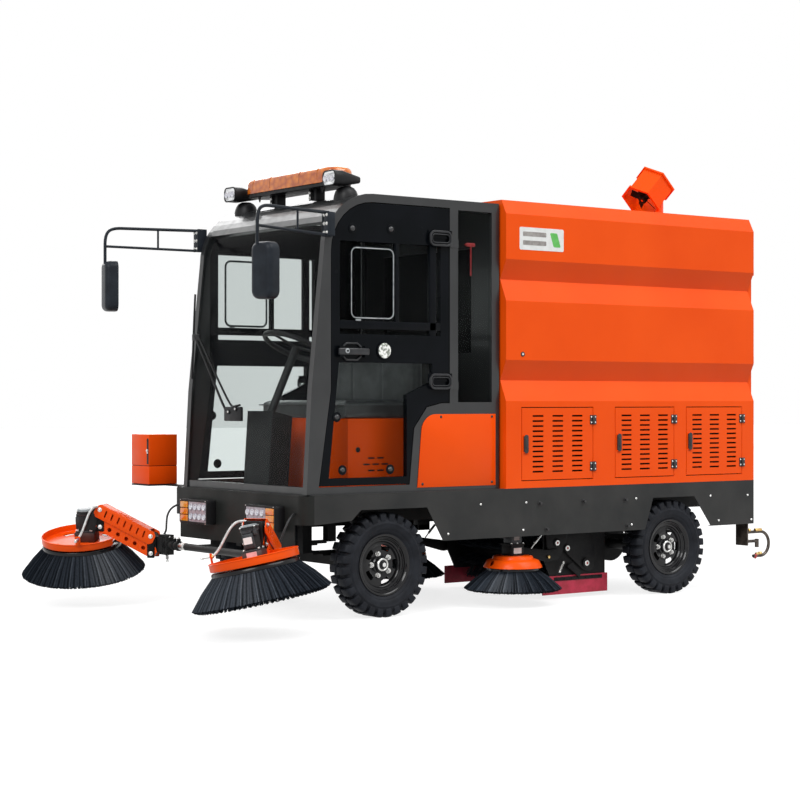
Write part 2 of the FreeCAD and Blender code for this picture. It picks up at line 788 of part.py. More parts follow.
def drum_and_spindle(x):
    """The brake backing plate and the spindle that the hub turns on."""
    drum = rod(
        (x, WHEEL_Y + DRUM_INNER_OFFSET, TYRE_RADIUS),
        (x, WHEEL_Y + DRUM_OUTER_OFFSET, TYRE_RADIUS),
        DRUM_RADIUS,
    )
    spindle = rod(
        (x, WHEEL_Y + DRUM_INNER_OFFSET, TYRE_RADIUS),
        (x, WHEEL_Y + SPINDLE_END_OFFSET, TYRE_RADIUS),
        SPINDLE_RADIUS,
    )
    return fuse([drum, spindle])


def knuckle():
    """The left steering knuckle, bored for the kingpin."""
    body = box(
        FRONT_AXLE_X - KNUCKLE_HALF_WIDTH,
        FRONT_AXLE_X + KNUCKLE_HALF_WIDTH,
        KINGPIN_Y,
        WHEEL_Y + DRUM_INNER_OFFSET,
        TYRE_RADIUS - KNUCKLE_HALF_HEIGHT,
        TYRE_RADIUS + KNUCKLE_HALF_HEIGHT,
    )
    boss = rod(
        (FRONT_AXLE_X, KINGPIN_Y, TYRE_RADIUS - KNUCKLE_HALF_HEIGHT),
        (FRONT_AXLE_X, KINGPIN_Y, TYRE_RADIUS + KNUCKLE_HALF_HEIGHT),
        KNUCKLE_HALF_WIDTH,
    )
    whole = fuse([body, boss, drum_and_spindle(FRONT_AXLE_X)])
    bore = rod(
        (FRONT_AXLE_X, KINGPIN_Y, TYRE_RADIUS - KNUCKLE_HALF_HEIGHT - OVERRUN),
        (FRONT_AXLE_X, KINGPIN_Y, TYRE_RADIUS + KNUCKLE_HALF_HEIGHT + OVERRUN),
        KINGPIN_RADIUS + PIN_PLAY,
    )
    return whole.cut(bore)


def lug_outline(x, shift):
    """The toothed outline of one shoulder row of tread lugs."""
    pitch = 2 * math.pi / TYRE_LUGS
    points = []
    for i in range(TYRE_LUGS):
        start = (i + shift) * pitch
        crest_end = start + LUG_SHARE * pitch
        valley_start = start + (LUG_SHARE + (1 - LUG_SHARE) / 4) * pitch
        valley_end = start + (1 - (1 - LUG_SHARE) / 4) * pitch
        corners = (
            (start, TYRE_RADIUS),
            (crest_end, TYRE_RADIUS),
            (valley_start, TYRE_ROOT_RADIUS),
            (valley_end, TYRE_ROOT_RADIUS),
        )
        points += [(x + r * math.sin(a), TYRE_RADIUS + r * math.cos(a)) for a, r in corners]
    return points


def tapered_prism(rings):
    """A flat-sided solid between two rings with as many points each."""
    near, far = [[Vector(*p) for p in ring] for ring in rings]
    count = len(near)
    faces = [Part.Face(Part.makePolygon(ring + ring[:1])) for ring in (near, far)]
    for i in range(count):
        j = (i + 1) % count
        faces.append(Part.Face(Part.makePolygon([near[i], near[j], far[j], far[i], near[i]])))
    return Part.makeSolid(Part.makeShell(faces))


def tyre(x):
    """The left tyre: two staggered rows of lugs, the side walls drawn in to the rim."""
    spread = 1 / math.cos(math.pi / TYRE_LUGS)
    seat_radius = (RIM_SEAT_RADIUS + SEAT_GAP) * spread
    toe_radius = (RIM_SEAT_RADIUS + RIM_FLANGE_HEIGHT + SEAT_GAP) * spread
    depth = (TYRE_WIDTH - TYRE_BEAD_WIDTH) / 2
    flare = (TYRE_BULGE_RADIUS - toe_radius) * (depth + OVERRUN) / depth
    pockets = []
    for sign in (-1.0, 1.0):
        rings = []
        for offset, radius in ((TYRE_BEAD_WIDTH / 2, toe_radius), (TYRE_WIDTH / 2 + OVERRUN, toe_radius + flare)):
            ring = ring_points((x, TYRE_RADIUS), radius, TYRE_LUGS)
            rings.append([(px, WHEEL_Y + sign * offset, pz) for px, pz in ring])
        pockets.append(tapered_prism(rings))
    inner_row = prism_y(lug_outline(x, 0.0), WHEEL_Y - TYRE_WIDTH / 2, WHEEL_Y)
    outer_row = prism_y(lug_outline(x, 1 / 2), WHEEL_Y, WHEEL_Y + TYRE_WIDTH / 2)
    bore = prism_y(ring_points((x, TYRE_RADIUS), seat_radius, TYRE_LUGS), WHEEL_Y - TYRE_WIDTH, WHEEL_Y + TYRE_WIDTH)
    return cut(fuse([inner_row, outer_row]), pockets).cut(bore)


def disc_slot(x, middle):
    """A curved slot in the wheel's disc, its ends narrower than its middle."""
    half = math.radians(DISC_SLOT_SPREAD)
    places = [(-1.0, 0.0), (-2 / 3, 1.0), (0.0, 1.0), (2 / 3, 1.0), (1.0, 0.0), (2 / 3, -1.0), (0.0, -1.0), (-2 / 3, -1.0)]
    points = []
    for along_slot, out in places:
        angle = middle + half * along_slot
        radius = DISC_SLOT_PITCH_RADIUS + DISC_SLOT_RADIUS * out
        points.append((x + radius * math.sin(angle), TYRE_RADIUS + radius * math.cos(angle)))
    return points


def rim(x):
    """The left wheel: pressed rim, slotted disc, hub, nuts and hub cap."""
    flange_in = TYRE_BEAD_WIDTH / 2 + SEAT_GAP
    flange_out = flange_in + RIM_SHEET
    edge = RIM_SEAT_RADIUS + RIM_FLANGE_HEIGHT
    barrel = RIM_SEAT_RADIUS - RIM_SHEET
    profile = (
        (-flange_out, barrel),
        (flange_out, barrel),
        (flange_out, edge),
        (flange_in, edge),
        (flange_in, RIM_SEAT_RADIUS),
        (-flange_in, RIM_SEAT_RADIUS),
        (-flange_in, edge),
        (-flange_out, edge),
    )
    hoop = turned_y(list(profile), x, TYRE_RADIUS, WHEEL_Y, 1.0)
    disc_y = WHEEL_Y + RIM_DISC_OFFSET
    disc = rod((x, disc_y, TYRE_RADIUS), (x, disc_y + DISC_THICKNESS, TYRE_RADIUS), barrel + RIM_SHEET / 2)
    slots = []
    for i in range(DISC_SLOTS):
        middle = 2 * math.pi * i / DISC_SLOTS
        slots.append(prism_y(disc_slot(x, middle), disc_y - OVERRUN, disc_y + DISC_THICKNESS + OVERRUN))
    hub = rod(
        (x, WHEEL_Y + HUB_INNER_OFFSET, TYRE_RADIUS),
        (x, WHEEL_Y + HUB_OUTER_OFFSET, TYRE_RADIUS),
        HUB_RADIUS,
    )
    cap = rod(
        (x, WHEEL_Y + HUB_OUTER_OFFSET, TYRE_RADIUS),
        (x, WHEEL_Y + HUB_OUTER_OFFSET + HUB_CAP_LENGTH, TYRE_RADIUS),
        HUB_CAP_RADIUS,
    )
    nuts = []
    for i in range(STUD_COUNT):
        angle = 2 * math.pi * (i + 1 / 2) / STUD_COUNT
        nx = x + STUD_CIRCLE_RADIUS * math.sin(angle)
        nz = TYRE_RADIUS + STUD_CIRCLE_RADIUS * math.cos(angle)
        start = disc_y + DISC_THICKNESS
        nuts.append(rod((nx, start, nz), (nx, start + STUD_LENGTH, nz), STUD_RADIUS))
    bore = rod(
        (x, WHEEL_Y + HUB_INNER_OFFSET - OVERRUN, TYRE_RADIUS),
        (x, WHEEL_Y + SPINDLE_END_OFFSET + SEAT_GAP, TYRE_RADIUS),
        SPINDLE_RADIUS + PIN_PLAY,
    )
    return fuse([hoop, cut(disc, slots), hub, cap] + nuts).cut(bore)


# Lower panels


def side_skirts():
    outline = [
        (FRONT_FACE_X - CORNER_RADIUS, PANEL_TOP),
        (FRONT_FACE_X - CORNER_RADIUS, CORNER_BOTTOM),
        (FRONT_AXLE_X + FRONT_ARCH_LEAD, FRONT_ARCH_LEAD_Z),
        (FRONT_AXLE_X + FRONT_ARCH_TOP_LEAD, ARCH_TOP),
        (FRONT_AXLE_X - FRONT_ARCH_TOP_TRAIL, ARCH_TOP),
        (FRONT_AXLE_X - FRONT_ARCH_TRAIL, SKIRT_BOTTOM),
        (REAR_AXLE_X + REAR_ARCH_LEAD, SKIRT_BOTTOM),
        (REAR_AXLE_X + REAR_ARCH_TOP_LEAD, ARCH_TOP),
        (REAR_AXLE_X - REAR_ARCH_TOP_TRAIL, ARCH_TOP),
        (REAR_AXLE_X - REAR_ARCH_TRAIL, SKIRT_BOTTOM),
        (REAR_FACE_X, SKIRT_BOTTOM),
        (REAR_FACE_X, STRIP_BOTTOM),
        (STRIP_FRONT_X, STRIP_BOTTOM),
        (STRIP_FRONT_X, PANEL_TOP),
    ]
    sheet = prism_y(outline, HALF_WIDTH - SKIRT_SHEET, HALF_WIDTH)
    lips = [
        box(a, b, HALF_WIDTH - SKIRT_LIP, HALF_WIDTH, SKIRT_BOTTOM, SKIRT_BOTTOM + SKIRT_SHEET)
        for a, b in (
            (FRONT_AXLE_X - FRONT_ARCH_TRAIL, REAR_AXLE_X + REAR_ARCH_LEAD),
            (REAR_AXLE_X - REAR_ARCH_TRAIL, REAR_FACE_X),
        )
    ]
    return both(fuse([sheet] + lips))


def front_panel():
    """The folded front apron with rounded upright corners."""
    start_x = FRONT_FACE_X - CORNER_RADIUS
    face_y = HALF_WIDTH - CORNER_RADIUS
    slant = CORNER_RADIUS * math.sin(math.pi / 4)

    def path(inset):
        radius = CORNER_RADIUS - inset
        mid = slant * radius / CORNER_RADIUS
        left = Part.Arc(
            Vector(start_x, face_y + radius, CORNER_BOTTOM),
            Vector(start_x + mid, face_y + mid, CORNER_BOTTOM),
            Vector(start_x + radius, face_y, CORNER_BOTTOM),
        )
        right = Part.Arc(
            Vector(start_x + radius, -face_y, CORNER_BOTTOM),
            Vector(start_x + mid, -face_y - mid, CORNER_BOTTOM),
            Vector(start_x, -face_y - radius, CORNER_BOTTOM),
        )
        front = Part.LineSegment(
            Vector(start_x + radius, face_y, CORNER_BOTTOM), Vector(start_x + radius, -face_y, CORNER_BOTTOM)
        )
        return left, front, right

    outer = path(0)
    inner = path(SKIRT_SHEET)
    close_right = Part.LineSegment(outer[2].EndPoint, inner[2].EndPoint)
    close_left = Part.LineSegment(inner[0].StartPoint, outer[0].StartPoint)
    edges = [c.toShape() for c in (*outer, close_right, *inner, close_left)]
    band = Part.Face(Part.Wire(Part.__sortEdges__(edges))).extrude(Vector(0, 0, PANEL_TOP - CORNER_BOTTOM))
    apron = box(
        FRONT_FACE_X - SKIRT_SHEET,
        FRONT_FACE_X,
        -FRONT_PANEL_HALF,
        FRONT_PANEL_HALF,
        FRONT_PANEL_BOTTOM,
        CORNER_BOTTOM,
    )
    return fuse([band, apron])


# Cab


def brow_arc(radius, start_share, end_share, count):
    """Points along the rounded front edge of the roof, from low to high."""
    points = []
    for i in range(count + 1):
        angle = math.pi / 2 * (start_share + (end_share - start_share) * i / count)
        points.append((BROW_X + radius * math.cos(angle), CAB_TOP - BROW_RADIUS + radius * math.sin(angle)))
    return points


def side_outline():
    """The cab's side seen square on, from the foot of the front pillar."""
    return (
        [(PILLAR_FOOT_X, DECK_TOP), (PILLAR_KNEE_X, PILLAR_KNEE_Z)]
        + brow_arc(BROW_RADIUS, 0, 1, 10)
        + [(CAB_REAR_X, CAB_TOP), (CAB_REAR_X, DECK_TOP)]
    )


def door_opening():
    inner = BROW_RADIUS - CAB_TUBE
    return (
        [(DOOR_SILL_REAR_X, SILL_TOP), (PILLAR_FOOT_X - PILLAR_FOOT_WIDTH, SILL_TOP)]
        + [(PILLAR_KNEE_X - PILLAR_KNEE_WIDTH, PILLAR_KNEE_Z)]
        + brow_arc(inner, 0, 1, 8)
        + [(B_PILLAR_FRONT_X, DOOR_TOP), (B_PILLAR_FRONT_X, DOOR_STEP_Z), (DOOR_STEP_X, DOOR_STEP_Z)]
        + [(DOOR_KNEE_HIGH_X, DOOR_KNEE_HIGH_Z), (DOOR_KNEE_LOW_X, DOOR_KNEE_LOW_Z)]
    )


def offset_prism(outline, inset, y0, y1):
    """An outline of (x, z) points, drawn in by an inset and extruded."""
    ring = wire([(x, y0, z) for x, z in outline])
    inner = ring.makeOffset2D(-inset, 2) if inset else ring
    return Part.Face(inner).extrude(Vector(0, y1 - y0, 0))


def rear_window_outline():
    return [
        (REAR_PILLAR_X, REAR_WINDOW_BOTTOM),
        (B_PILLAR_REAR_X, REAR_WINDOW_BOTTOM),
        (B_PILLAR_REAR_X, REAR_WINDOW_TOP),
        (REAR_PILLAR_X, REAR_WINDOW_TOP),
    ]


def cab_frame():
    inner_y = CAB_Y - CAB_FRAME_DEPTH
    side = prism_y(side_outline(), inner_y, CAB_Y)
    holes = [
        prism_y(door_opening(), inner_y - OVERRUN, CAB_Y + OVERRUN),
        prism_y(rear_window_outline(), inner_y - OVERRUN, CAB_Y + OVERRUN),
    ]
    side = cut(side, holes)
    fixed_leaves = [cab_hinge(z)[0] for z in CAB_HINGE_HEIGHTS_Z]
    left = fuse([side] + fixed_leaves)
    wall = box(CAB_REAR_X, CAB_REAR_X + CAB_WALL, -inner_y, inner_y, DECK_TOP, CAB_TOP - CAB_ROOF_SHEET)
    window = box(
        CAB_REAR_X - OVERRUN,
        CAB_REAR_X + CAB_WALL + OVERRUN,
        -BACK_WINDOW_HALF,
        BACK_WINDOW_HALF,
        BACK_WINDOW_BOTTOM,
        BACK_WINDOW_TOP,
    )
    sill = box(PILLAR_FOOT_X - CAB_TUBE, PILLAR_FOOT_X - SCREEN_INSET, -inner_y, inner_y, DECK_TOP, SILL_TOP)
    return fuse([left, mirrored(left), wall.cut(window), sill])


def cab_hinge(z):
    """One door hinge: the leaf on the pillar, and the leaf on the door with its pin."""
    y = CAB_Y + HINGE_BARREL_RADIUS
    fixed, moving = hinge(CAB_HINGE_X, y, z, CAB_HINGE_HEIGHT, HINGE_BARREL_RADIUS, HINGE_PIN_RADIUS)
    half = CAB_HINGE_HEIGHT / 2
    bore = rod((CAB_HINGE_X, y, z - half - OVERRUN), (CAB_HINGE_X, y, z), HINGE_PIN_RADIUS + PIN_PLAY)
    fixed_leaf = box(CAB_HINGE_X - CAB_HINGE_LEAF, CAB_HINGE_X, CAB_Y, CAB_Y + HINGE_SHEET, z - half, z - SEAT_GAP)
    moving_leaf = box(
        CAB_HINGE_X,
        CAB_HINGE_X + CAB_HINGE_REACH,
        CAB_Y - DOOR_FACE_INSET,
        CAB_Y + HINGE_SHEET,
        z,
        z + half,
    )
    fixed = fuse([fixed, fixed_leaf]).cut(bore)
    return fixed, fuse([moving, moving_leaf])


def cab_roof():
    outer = brow_arc(BROW_RADIUS, BROW_SHARE, 1, 8) + [(CAB_REAR_X, CAB_TOP)]
    inner = brow_arc(BROW_RADIUS - CAB_ROOF_SHEET, BROW_SHARE, 1, 8) + [(CAB_REAR_X, CAB_TOP - CAB_ROOF_SHEET)]
    half = CAB_Y - CAB_FRAME_DEPTH
    return prism_y(outer + inner[::-1], -half, half)


def cab_glass():
    """The windscreen, the fixed rear side windows and the window in the rear wall."""
    half = CAB_Y - CAB_FRAME_DEPTH
    front = [
        (PILLAR_FOOT_X - SCREEN_INSET, SILL_TOP),
        (PILLAR_KNEE_X - SCREEN_INSET, PILLAR_KNEE_Z),
    ] + brow_arc(BROW_RADIUS - SCREEN_INSET, 0, SCREEN_END_SHARE, 4)
    back = [(x - GLASS, z) for x, z in front]
    screen = prism_y(front + back[::-1], -half, half)
    middle = CAB_Y - CAB_FRAME_DEPTH / 2
    pane = prism_y(rear_window_outline(), middle - GLASS / 2, middle + GLASS / 2)
    wall_middle = CAB_REAR_X + CAB_WALL / 2
    back_pane = box(
        wall_middle - GLASS / 2,
        wall_middle + GLASS / 2,
        -BACK_WINDOW_HALF,
        BACK_WINDOW_HALF,
        BACK_WINDOW_BOTTOM,
        BACK_WINDOW_TOP,
    )
    return Part.Compound([screen, pane, mirrored(pane), back_pane])


def cab_side_panels():
    outline = [
        (SIDE_PANEL_FRONT_X, SIDE_PANEL_BOTTOM),
        (SIDE_PANEL_KNEE_X, SIDE_PANEL_KNEE_Z),
        (SIDE_PANEL_TOP_X, SIDE_PANEL_TOP),
        (SIDE_PANEL_REAR_X, SIDE_PANEL_TOP),
        (SIDE_PANEL_REAR_X, SIDE_PANEL_BOTTOM),
    ]
    return both(prism_y(outline, CAB_Y, CAB_Y + SIDE_PANEL_SHEET))


def upper_light():
    return [
        (UPPER_LIGHT_REAR_X, UPPER_LIGHT_BOTTOM),
        (UPPER_LIGHT_FRONT_X, UPPER_LIGHT_BOTTOM),
        (UPPER_LIGHT_FRONT_X, UPPER_LIGHT_TOP),
        (UPPER_LIGHT_REAR_X, UPPER_LIGHT_TOP),
    ]


def lower_light():
    return [
        (LOWER_LIGHT_KNEE_X, LOWER_LIGHT_FOOT),
        (LOWER_LIGHT_FOOT_FRONT_X, LOWER_LIGHT_FOOT),
        (LOWER_LIGHT_TOP_FRONT_X, LOWER_LIGHT_TOP),
        (LOWER_LIGHT_REAR_X, LOWER_LIGHT_TOP),
        (LOWER_LIGHT_REAR_X, LOWER_LIGHT_STEP_Z),
        (LOWER_LIGHT_KNEE_X, LOWER_LIGHT_KNEE_Z),
    ]


def cab_door():
    """The left door leaf with its two lights cut, its handle, reflector and hinge leaves."""
    outer_y = CAB_Y - DOOR_FACE_INSET
    inner_y = outer_y - DOOR_THICKNESS
    leaf = offset_prism(door_opening(), MOVING_GAP, inner_y, outer_y)
    lights = [prism_y(o, inner_y - OVERRUN, outer_y + OVERRUN) for o in (upper_light(), lower_light())]
    leaf = cut(leaf, lights)
    fittings = [cab_hinge(z)[1] for z in CAB_HINGE_HEIGHTS_Z]
    half = HANDLE_HEIGHT / 2
    grip = box(
        HANDLE_REAR_X,
        HANDLE_FRONT_X,
        outer_y + HANDLE_STANDOFF - HANDLE_BAR,
        outer_y + HANDLE_STANDOFF,
        HANDLE_Z - half / 2,
        HANDLE_Z + half / 2,
    )
    posts = [
        box(x, x + HANDLE_BAR * 2, outer_y, outer_y + HANDLE_STANDOFF, HANDLE_Z - half, HANDLE_Z + half)
        for x in (HANDLE_REAR_X, HANDLE_FRONT_X - HANDLE_BAR * 2)
    ]
    reflector = rod(
        (REFLECTOR_X, outer_y, REFLECTOR_Z),
        (REFLECTOR_X, outer_y + REFLECTOR_THICKNESS, REFLECTOR_Z),
        REFLECTOR_RADIUS,
    )
    return fuse([leaf, grip, reflector] + posts + fittings)


def door_glass():
    middle = CAB_Y - DOOR_FACE_INSET - DOOR_THICKNESS / 2
    panes = [prism_y(o, middle - GLASS / 2, middle + GLASS / 2) for o in (upper_light(), lower_light())]
    return Part.Compound(panes)


def cab_interior():
    console = prism_y(
        [
            (CONSOLE_REAR_X, DECK_TOP),
            (CONSOLE_FRONT_X, DECK_TOP),
            (CONSOLE_FRONT_X - CAB_WALL, CONSOLE_TOP),
            (CONSOLE_REAR_X - CAB_WALL, CONSOLE_TOP - CAB_WALL),
        ],
        -CONSOLE_HALF,
        CONSOLE_HALF,
    )
    tilt = math.radians(WHEEL_TILT)
    axis = Vector(math.sin(tilt), 0, -math.cos(tilt))
    centre = Vector(WHEEL_CENTRE_X, 0, WHEEL_CENTRE_Z)
    foot = centre + axis * ((WHEEL_CENTRE_Z - CONSOLE_TOP + 2 * CAB_WALL) / math.cos(tilt))
    column = rod(tuple(centre), tuple(foot), COLUMN_RADIUS)
    grip = Part.makeTorus(WHEEL_RADIUS, WHEEL_GRIP_RADIUS, centre, axis)
    spokes = []
    for i in range(3):
        angle = math.radians(90 + 120 * i)
        ahead = Vector(math.cos(tilt), 0, math.sin(tilt))
        direction = Vector(0, 1, 0) * math.cos(angle) + ahead * math.sin(angle)
        spokes.append(rod(tuple(centre), tuple(centre + direction * WHEEL_RADIUS), WHEEL_GRIP_RADIUS / 2))
    return fuse([console, column, grip] + spokes)


def seat_box():
    outer = box(SEAT_BOX_REAR_X, SEAT_BOX_FRONT_X, -SEAT_BOX_HALF, SEAT_BOX_HALF, DECK_TOP, SEAT_BOX_TOP)
    sheet = SEAT_BOX_SHEET
    inner = box(
        SEAT_BOX_REAR_X + sheet,
        SEAT_BOX_FRONT_X - sheet,
        -SEAT_BOX_HALF + sheet,
        SEAT_BOX_HALF - sheet,
        DECK_TOP - OVERRUN,
        SEAT_BOX_TOP - sheet,
    )
    return outer.cut(inner)


def seat():
    cushion = box(
        SEAT_BOX_REAR_X + BACKREST_THICKNESS,
        SEAT_BOX_FRONT_X,
        -CUSHION_HALF,
        CUSHION_HALF,
        SEAT_BOX_TOP + SEAT_GAP,
        SEAT_BOX_TOP + CUSHION_THICKNESS,
    )
    back = box(
        SEAT_BOX_REAR_X,
        SEAT_BOX_REAR_X + BACKREST_THICKNESS - SEAT_GAP,
        -CUSHION_HALF,
        CUSHION_HALF,
        SEAT_BOX_TOP + SEAT_GAP,
        BACKREST_TOP,
    )
    return Part.Compound([cushion, back])


# Body


def body_half_outline(inset):
    """Half of the body's cross-section, from the floor up, drawn in by an inset."""
    side = BODY_HALF - inset
    return [
        (side, DECK_TOP + inset),
        (side, LOW_GROOVE_BOTTOM),
        (side - GROOVE_DEPTH, LOW_GROOVE_DEEPEST),
        (side, LOW_GROOVE_TOP),
        (side, HIGH_GROOVE_BOTTOM),
        (side - GROOVE_DEPTH, HIGH_GROOVE_DEEPEST),
        (side, HIGH_GROOVE_TOP),
        (side, CHAMFER_START),
        (side - CHAMFER_INSET, BODY_TOP - inset),
    ]


def body_outline(inset):
    half = body_half_outline(inset)
    return half + [(-y, z) for y, z in reversed(half)]


def body_shell():
    outer = prism_x(body_outline(0), REAR_FACE_X, BODY_FRONT_X)
    hollow = prism_x(body_outline(BODY_WALL), REAR_FACE_X + BODY_WALL, BODY_FRONT_X - BODY_WALL)
    rear_hole = box(
        REAR_FACE_X - OVERRUN,
        REAR_FACE_X + BODY_WALL + OVERRUN,
        -REAR_OPENING_HALF,
        REAR_OPENING_HALF,
        REAR_OPENING_BOTTOM,
        REAR_OPENING_TOP,
    )
    holes = [hollow, rear_hole]
    for front, rear in VENT_SPANS_X:
        hole = box(
            front + MOVING_GAP,
            rear - MOVING_GAP,
            BODY_HALF - BODY_WALL - OVERRUN,
            BODY_HALF + OVERRUN,
            VENT_BOTTOM - MOVING_GAP,
            VENT_TOP + MOVING_GAP,
        )
        holes += [hole, mirrored(hole)]
    shell = cut(outer, holes)
    leaves = []
    for span in VENT_SPANS_X:
        leaves += [vent_hinge(span, z)[0] for z in vent_hinge_heights()]
    leaves += [rear_hinge(z)[0] for z in REAR_HINGE_HEIGHTS_Z]
    leaves += [mirrored(leaf) for leaf in leaves]
    return fuse([shell] + leaves)


def vent_hinge_heights():
    return (VENT_BOTTOM + VENT_HINGE_INSET, VENT_TOP - VENT_HINGE_INSET)


def vent_hinge(span, z):
    """One hinge of a vent door, its barrel proud of the body over the rear gap."""
    x = span[1] - MOVING_GAP / 2
    radius = HINGE_BARREL_RADIUS * 2 / 3
    y = BODY_HALF + radius
    pin_radius = HINGE_PIN_RADIUS / 2
    half = VENT_HINGE_HEIGHT / 2
    fixed, moving = hinge(x, y, z, VENT_HINGE_HEIGHT, radius, pin_radius)
    bore = rod((x, y, z - half - OVERRUN), (x, y, z), pin_radius + PIN_PLAY)
    sheet = HINGE_SHEET / 2
    fixed_leaf = box(x - VENT_HINGE_WIDTH, x, BODY_HALF, BODY_HALF + sheet, z - half, z - SEAT_GAP)
    moving_leaf = box(x, x + VENT_HINGE_WIDTH, BODY_HALF, BODY_HALF + sheet, z, z + half)
    return fuse([fixed, fixed_leaf]).cut(bore), fuse([moving, moving_leaf])


def vent_door(span):
    """A left vent door: a slotted skin with a folded edge, a handle and its hinge leaves."""
    front, rear = span
    tray = box(rear, front, BODY_HALF - VENT_THICKNESS, BODY_HALF, VENT_BOTTOM, VENT_TOP)
    hollow = box(
        rear + VENT_SKIN,
        front - VENT_SKIN,
        BODY_HALF - VENT_THICKNESS - OVERRUN,
        BODY_HALF - VENT_SKIN,
        VENT_BOTTOM + VENT_SKIN,
        VENT_TOP - VENT_SKIN,
    )
    middle_x = (front + rear) / 2
    middle_z = (VENT_BOTTOM + VENT_TOP) / 2
    handle_x = front - VENT_HANDLE_INSET
    slots = []
    for row in range(SLOT_ROWS):
        z = middle_z + (row - (SLOT_ROWS - 1) / 2) * SLOT_ROW_PITCH
        for column in range(SLOT_COLUMNS):
            x = middle_x + (column - (SLOT_COLUMNS - 1) / 2) * SLOT_COLUMN_PITCH
            start = x - SLOT_LENGTH / 2
            end = x + SLOT_LENGTH / 2
            if column == SLOT_COLUMNS - 1 and abs(z - middle_z) < VENT_HANDLE_HEIGHT / 2 + SLOT_HEIGHT:
                end = min(end, handle_x - VENT_HANDLE_WIDTH)
            slots.append(
                box(start, end, BODY_HALF - 2 * VENT_SKIN, BODY_HALF + OVERRUN, z - SLOT_HEIGHT / 2, z + SLOT_HEIGHT / 2)
            )
    skin = cut(tray, [hollow] + slots)
    handle = box(
        handle_x - VENT_HANDLE_WIDTH / 2,
        handle_x + VENT_HANDLE_WIDTH / 2,
        BODY_HALF,
        BODY_HALF + VENT_HANDLE_DEPTH,
        middle_z - VENT_HANDLE_HEIGHT / 2,
        middle_z + VENT_HANDLE_HEIGHT / 2,
    )
    leaves = [vent_hinge(span, z)[1] for z in vent_hinge_heights()]
    return fuse([skin, handle] + leaves)


def rear_hinge(z):
    """One hinge of a rear door, at the body's rear edge."""
    x = REAR_FACE_X - HINGE_BARREL_RADIUS - SEAT_GAP
    y = REAR_DOOR_HALF + HINGE_BARREL_RADIUS + MOVING_GAP / 2
    half = REAR_HINGE_HEIGHT / 2
    fixed, moving = hinge(x, y, z, REAR_HINGE_HEIGHT, HINGE_BARREL_RADIUS, HINGE_PIN_RADIUS)
    bore = rod((x, y, z - half - OVERRUN), (x, y, z), HINGE_PIN_RADIUS + PIN_PLAY)
    fixed_leaf = box(REAR_FACE_X - HINGE_SHEET, REAR_FACE_X, y, y + REAR_HINGE_LEAF, z - half, z - SEAT_GAP)
    reach = HINGE_BARREL_RADIUS + REAR_HINGE_LEAF / 2
    moving_leaf = box(x - HINGE_SHEET / 2, x + HINGE_SHEET / 2, y, y - reach, z, z + half)
    return fuse([fixed, fixed_leaf]).cut(bore), fuse([moving, moving_leaf])


def rear_door():
    """The left rear door leaf with its upright latch bar and hinge leaves."""
    front_x = REAR_FACE_X - MOVING_GAP
    back_x = front_x - REAR_DOOR_THICKNESS
    leaf = box(back_x, front_x, MOVING_GAP / 2, REAR_DOOR_HALF, REAR_DOOR_BOTTOM, REAR_DOOR_TOP)
    bar_x = back_x - LATCH_BAR_STANDOFF
    bar_y = LATCH_BAR_INSET
    bar = rod((bar_x, bar_y, REAR_DOOR_BOTTOM), (bar_x, bar_y, REAR_DOOR_TOP), LATCH_BAR_RADIUS)
    keepers = [
        box(
            bar_x,
            back_x,
            bar_y - LATCH_BAR_RADIUS / 2,
            bar_y + LATCH_BAR_RADIUS / 2,
            z - LATCH_BAR_STANDOFF,
            z + LATCH_BAR_STANDOFF,
        )
        for z in REAR_HINGE_HEIGHTS_Z
    ]
    leaves = [rear_hinge(z)[1] for z in REAR_HINGE_HEIGHTS_Z]
    return fuse([leaf, bar] + keepers + leaves)


def battery_pack():
    floor = DECK_TOP + BODY_WALL
    return box(BATTERY_REAR_X, BATTERY_FRONT_X, -BATTERY_HALF, BATTERY_HALF, floor, BATTERY_TOP)


# Outside fittings


def bent_tube(start, corner, end, bend, radius):
    """A round tube from start to end that turns a smooth bend at the corner."""
    points = [Vector(*p) for p in (start, corner, end)]
    back = (points[0] - points[1]).normalize()
    ahead = (points[2] - points[1]).normalize()
    half = back.getAngle(ahead) / 2
    reach = bend / math.tan(half)
    inward = (back + ahead).normalize()
    middle = points[1] + inward * (bend / math.sin(half) - bend)
    leave, join = points[1] + back * reach, points[1] + ahead * reach
    path = Part.Wire(
        [
            Part.LineSegment(points[0], leave).toShape(),
            Part.Arc(leave, middle, join).toShape(),
            Part.LineSegment(join, points[2]).toShape(),
        ]
    )
    section = Part.Wire(Part.makeCircle(radius, points[0], back))
    return path.makePipeShell([section], True, False)


def rounded_outline(width, height, corner, steps):
    """A rectangle about the origin with its corners rounded off in short straight steps."""
    points = []
    for quarter, (sx, sy) in enumerate(((1, 1), (-1, 1), (-1, -1), (1, -1))):
        for i in range(steps + 1):
            angle = math.pi / 2 * (quarter + i / steps)
            x = sx * (width / 2 - corner) + corner * math.cos(angle)
            points.append((x, sy * (height / 2 - corner) + corner * math.sin(angle)))
    return points


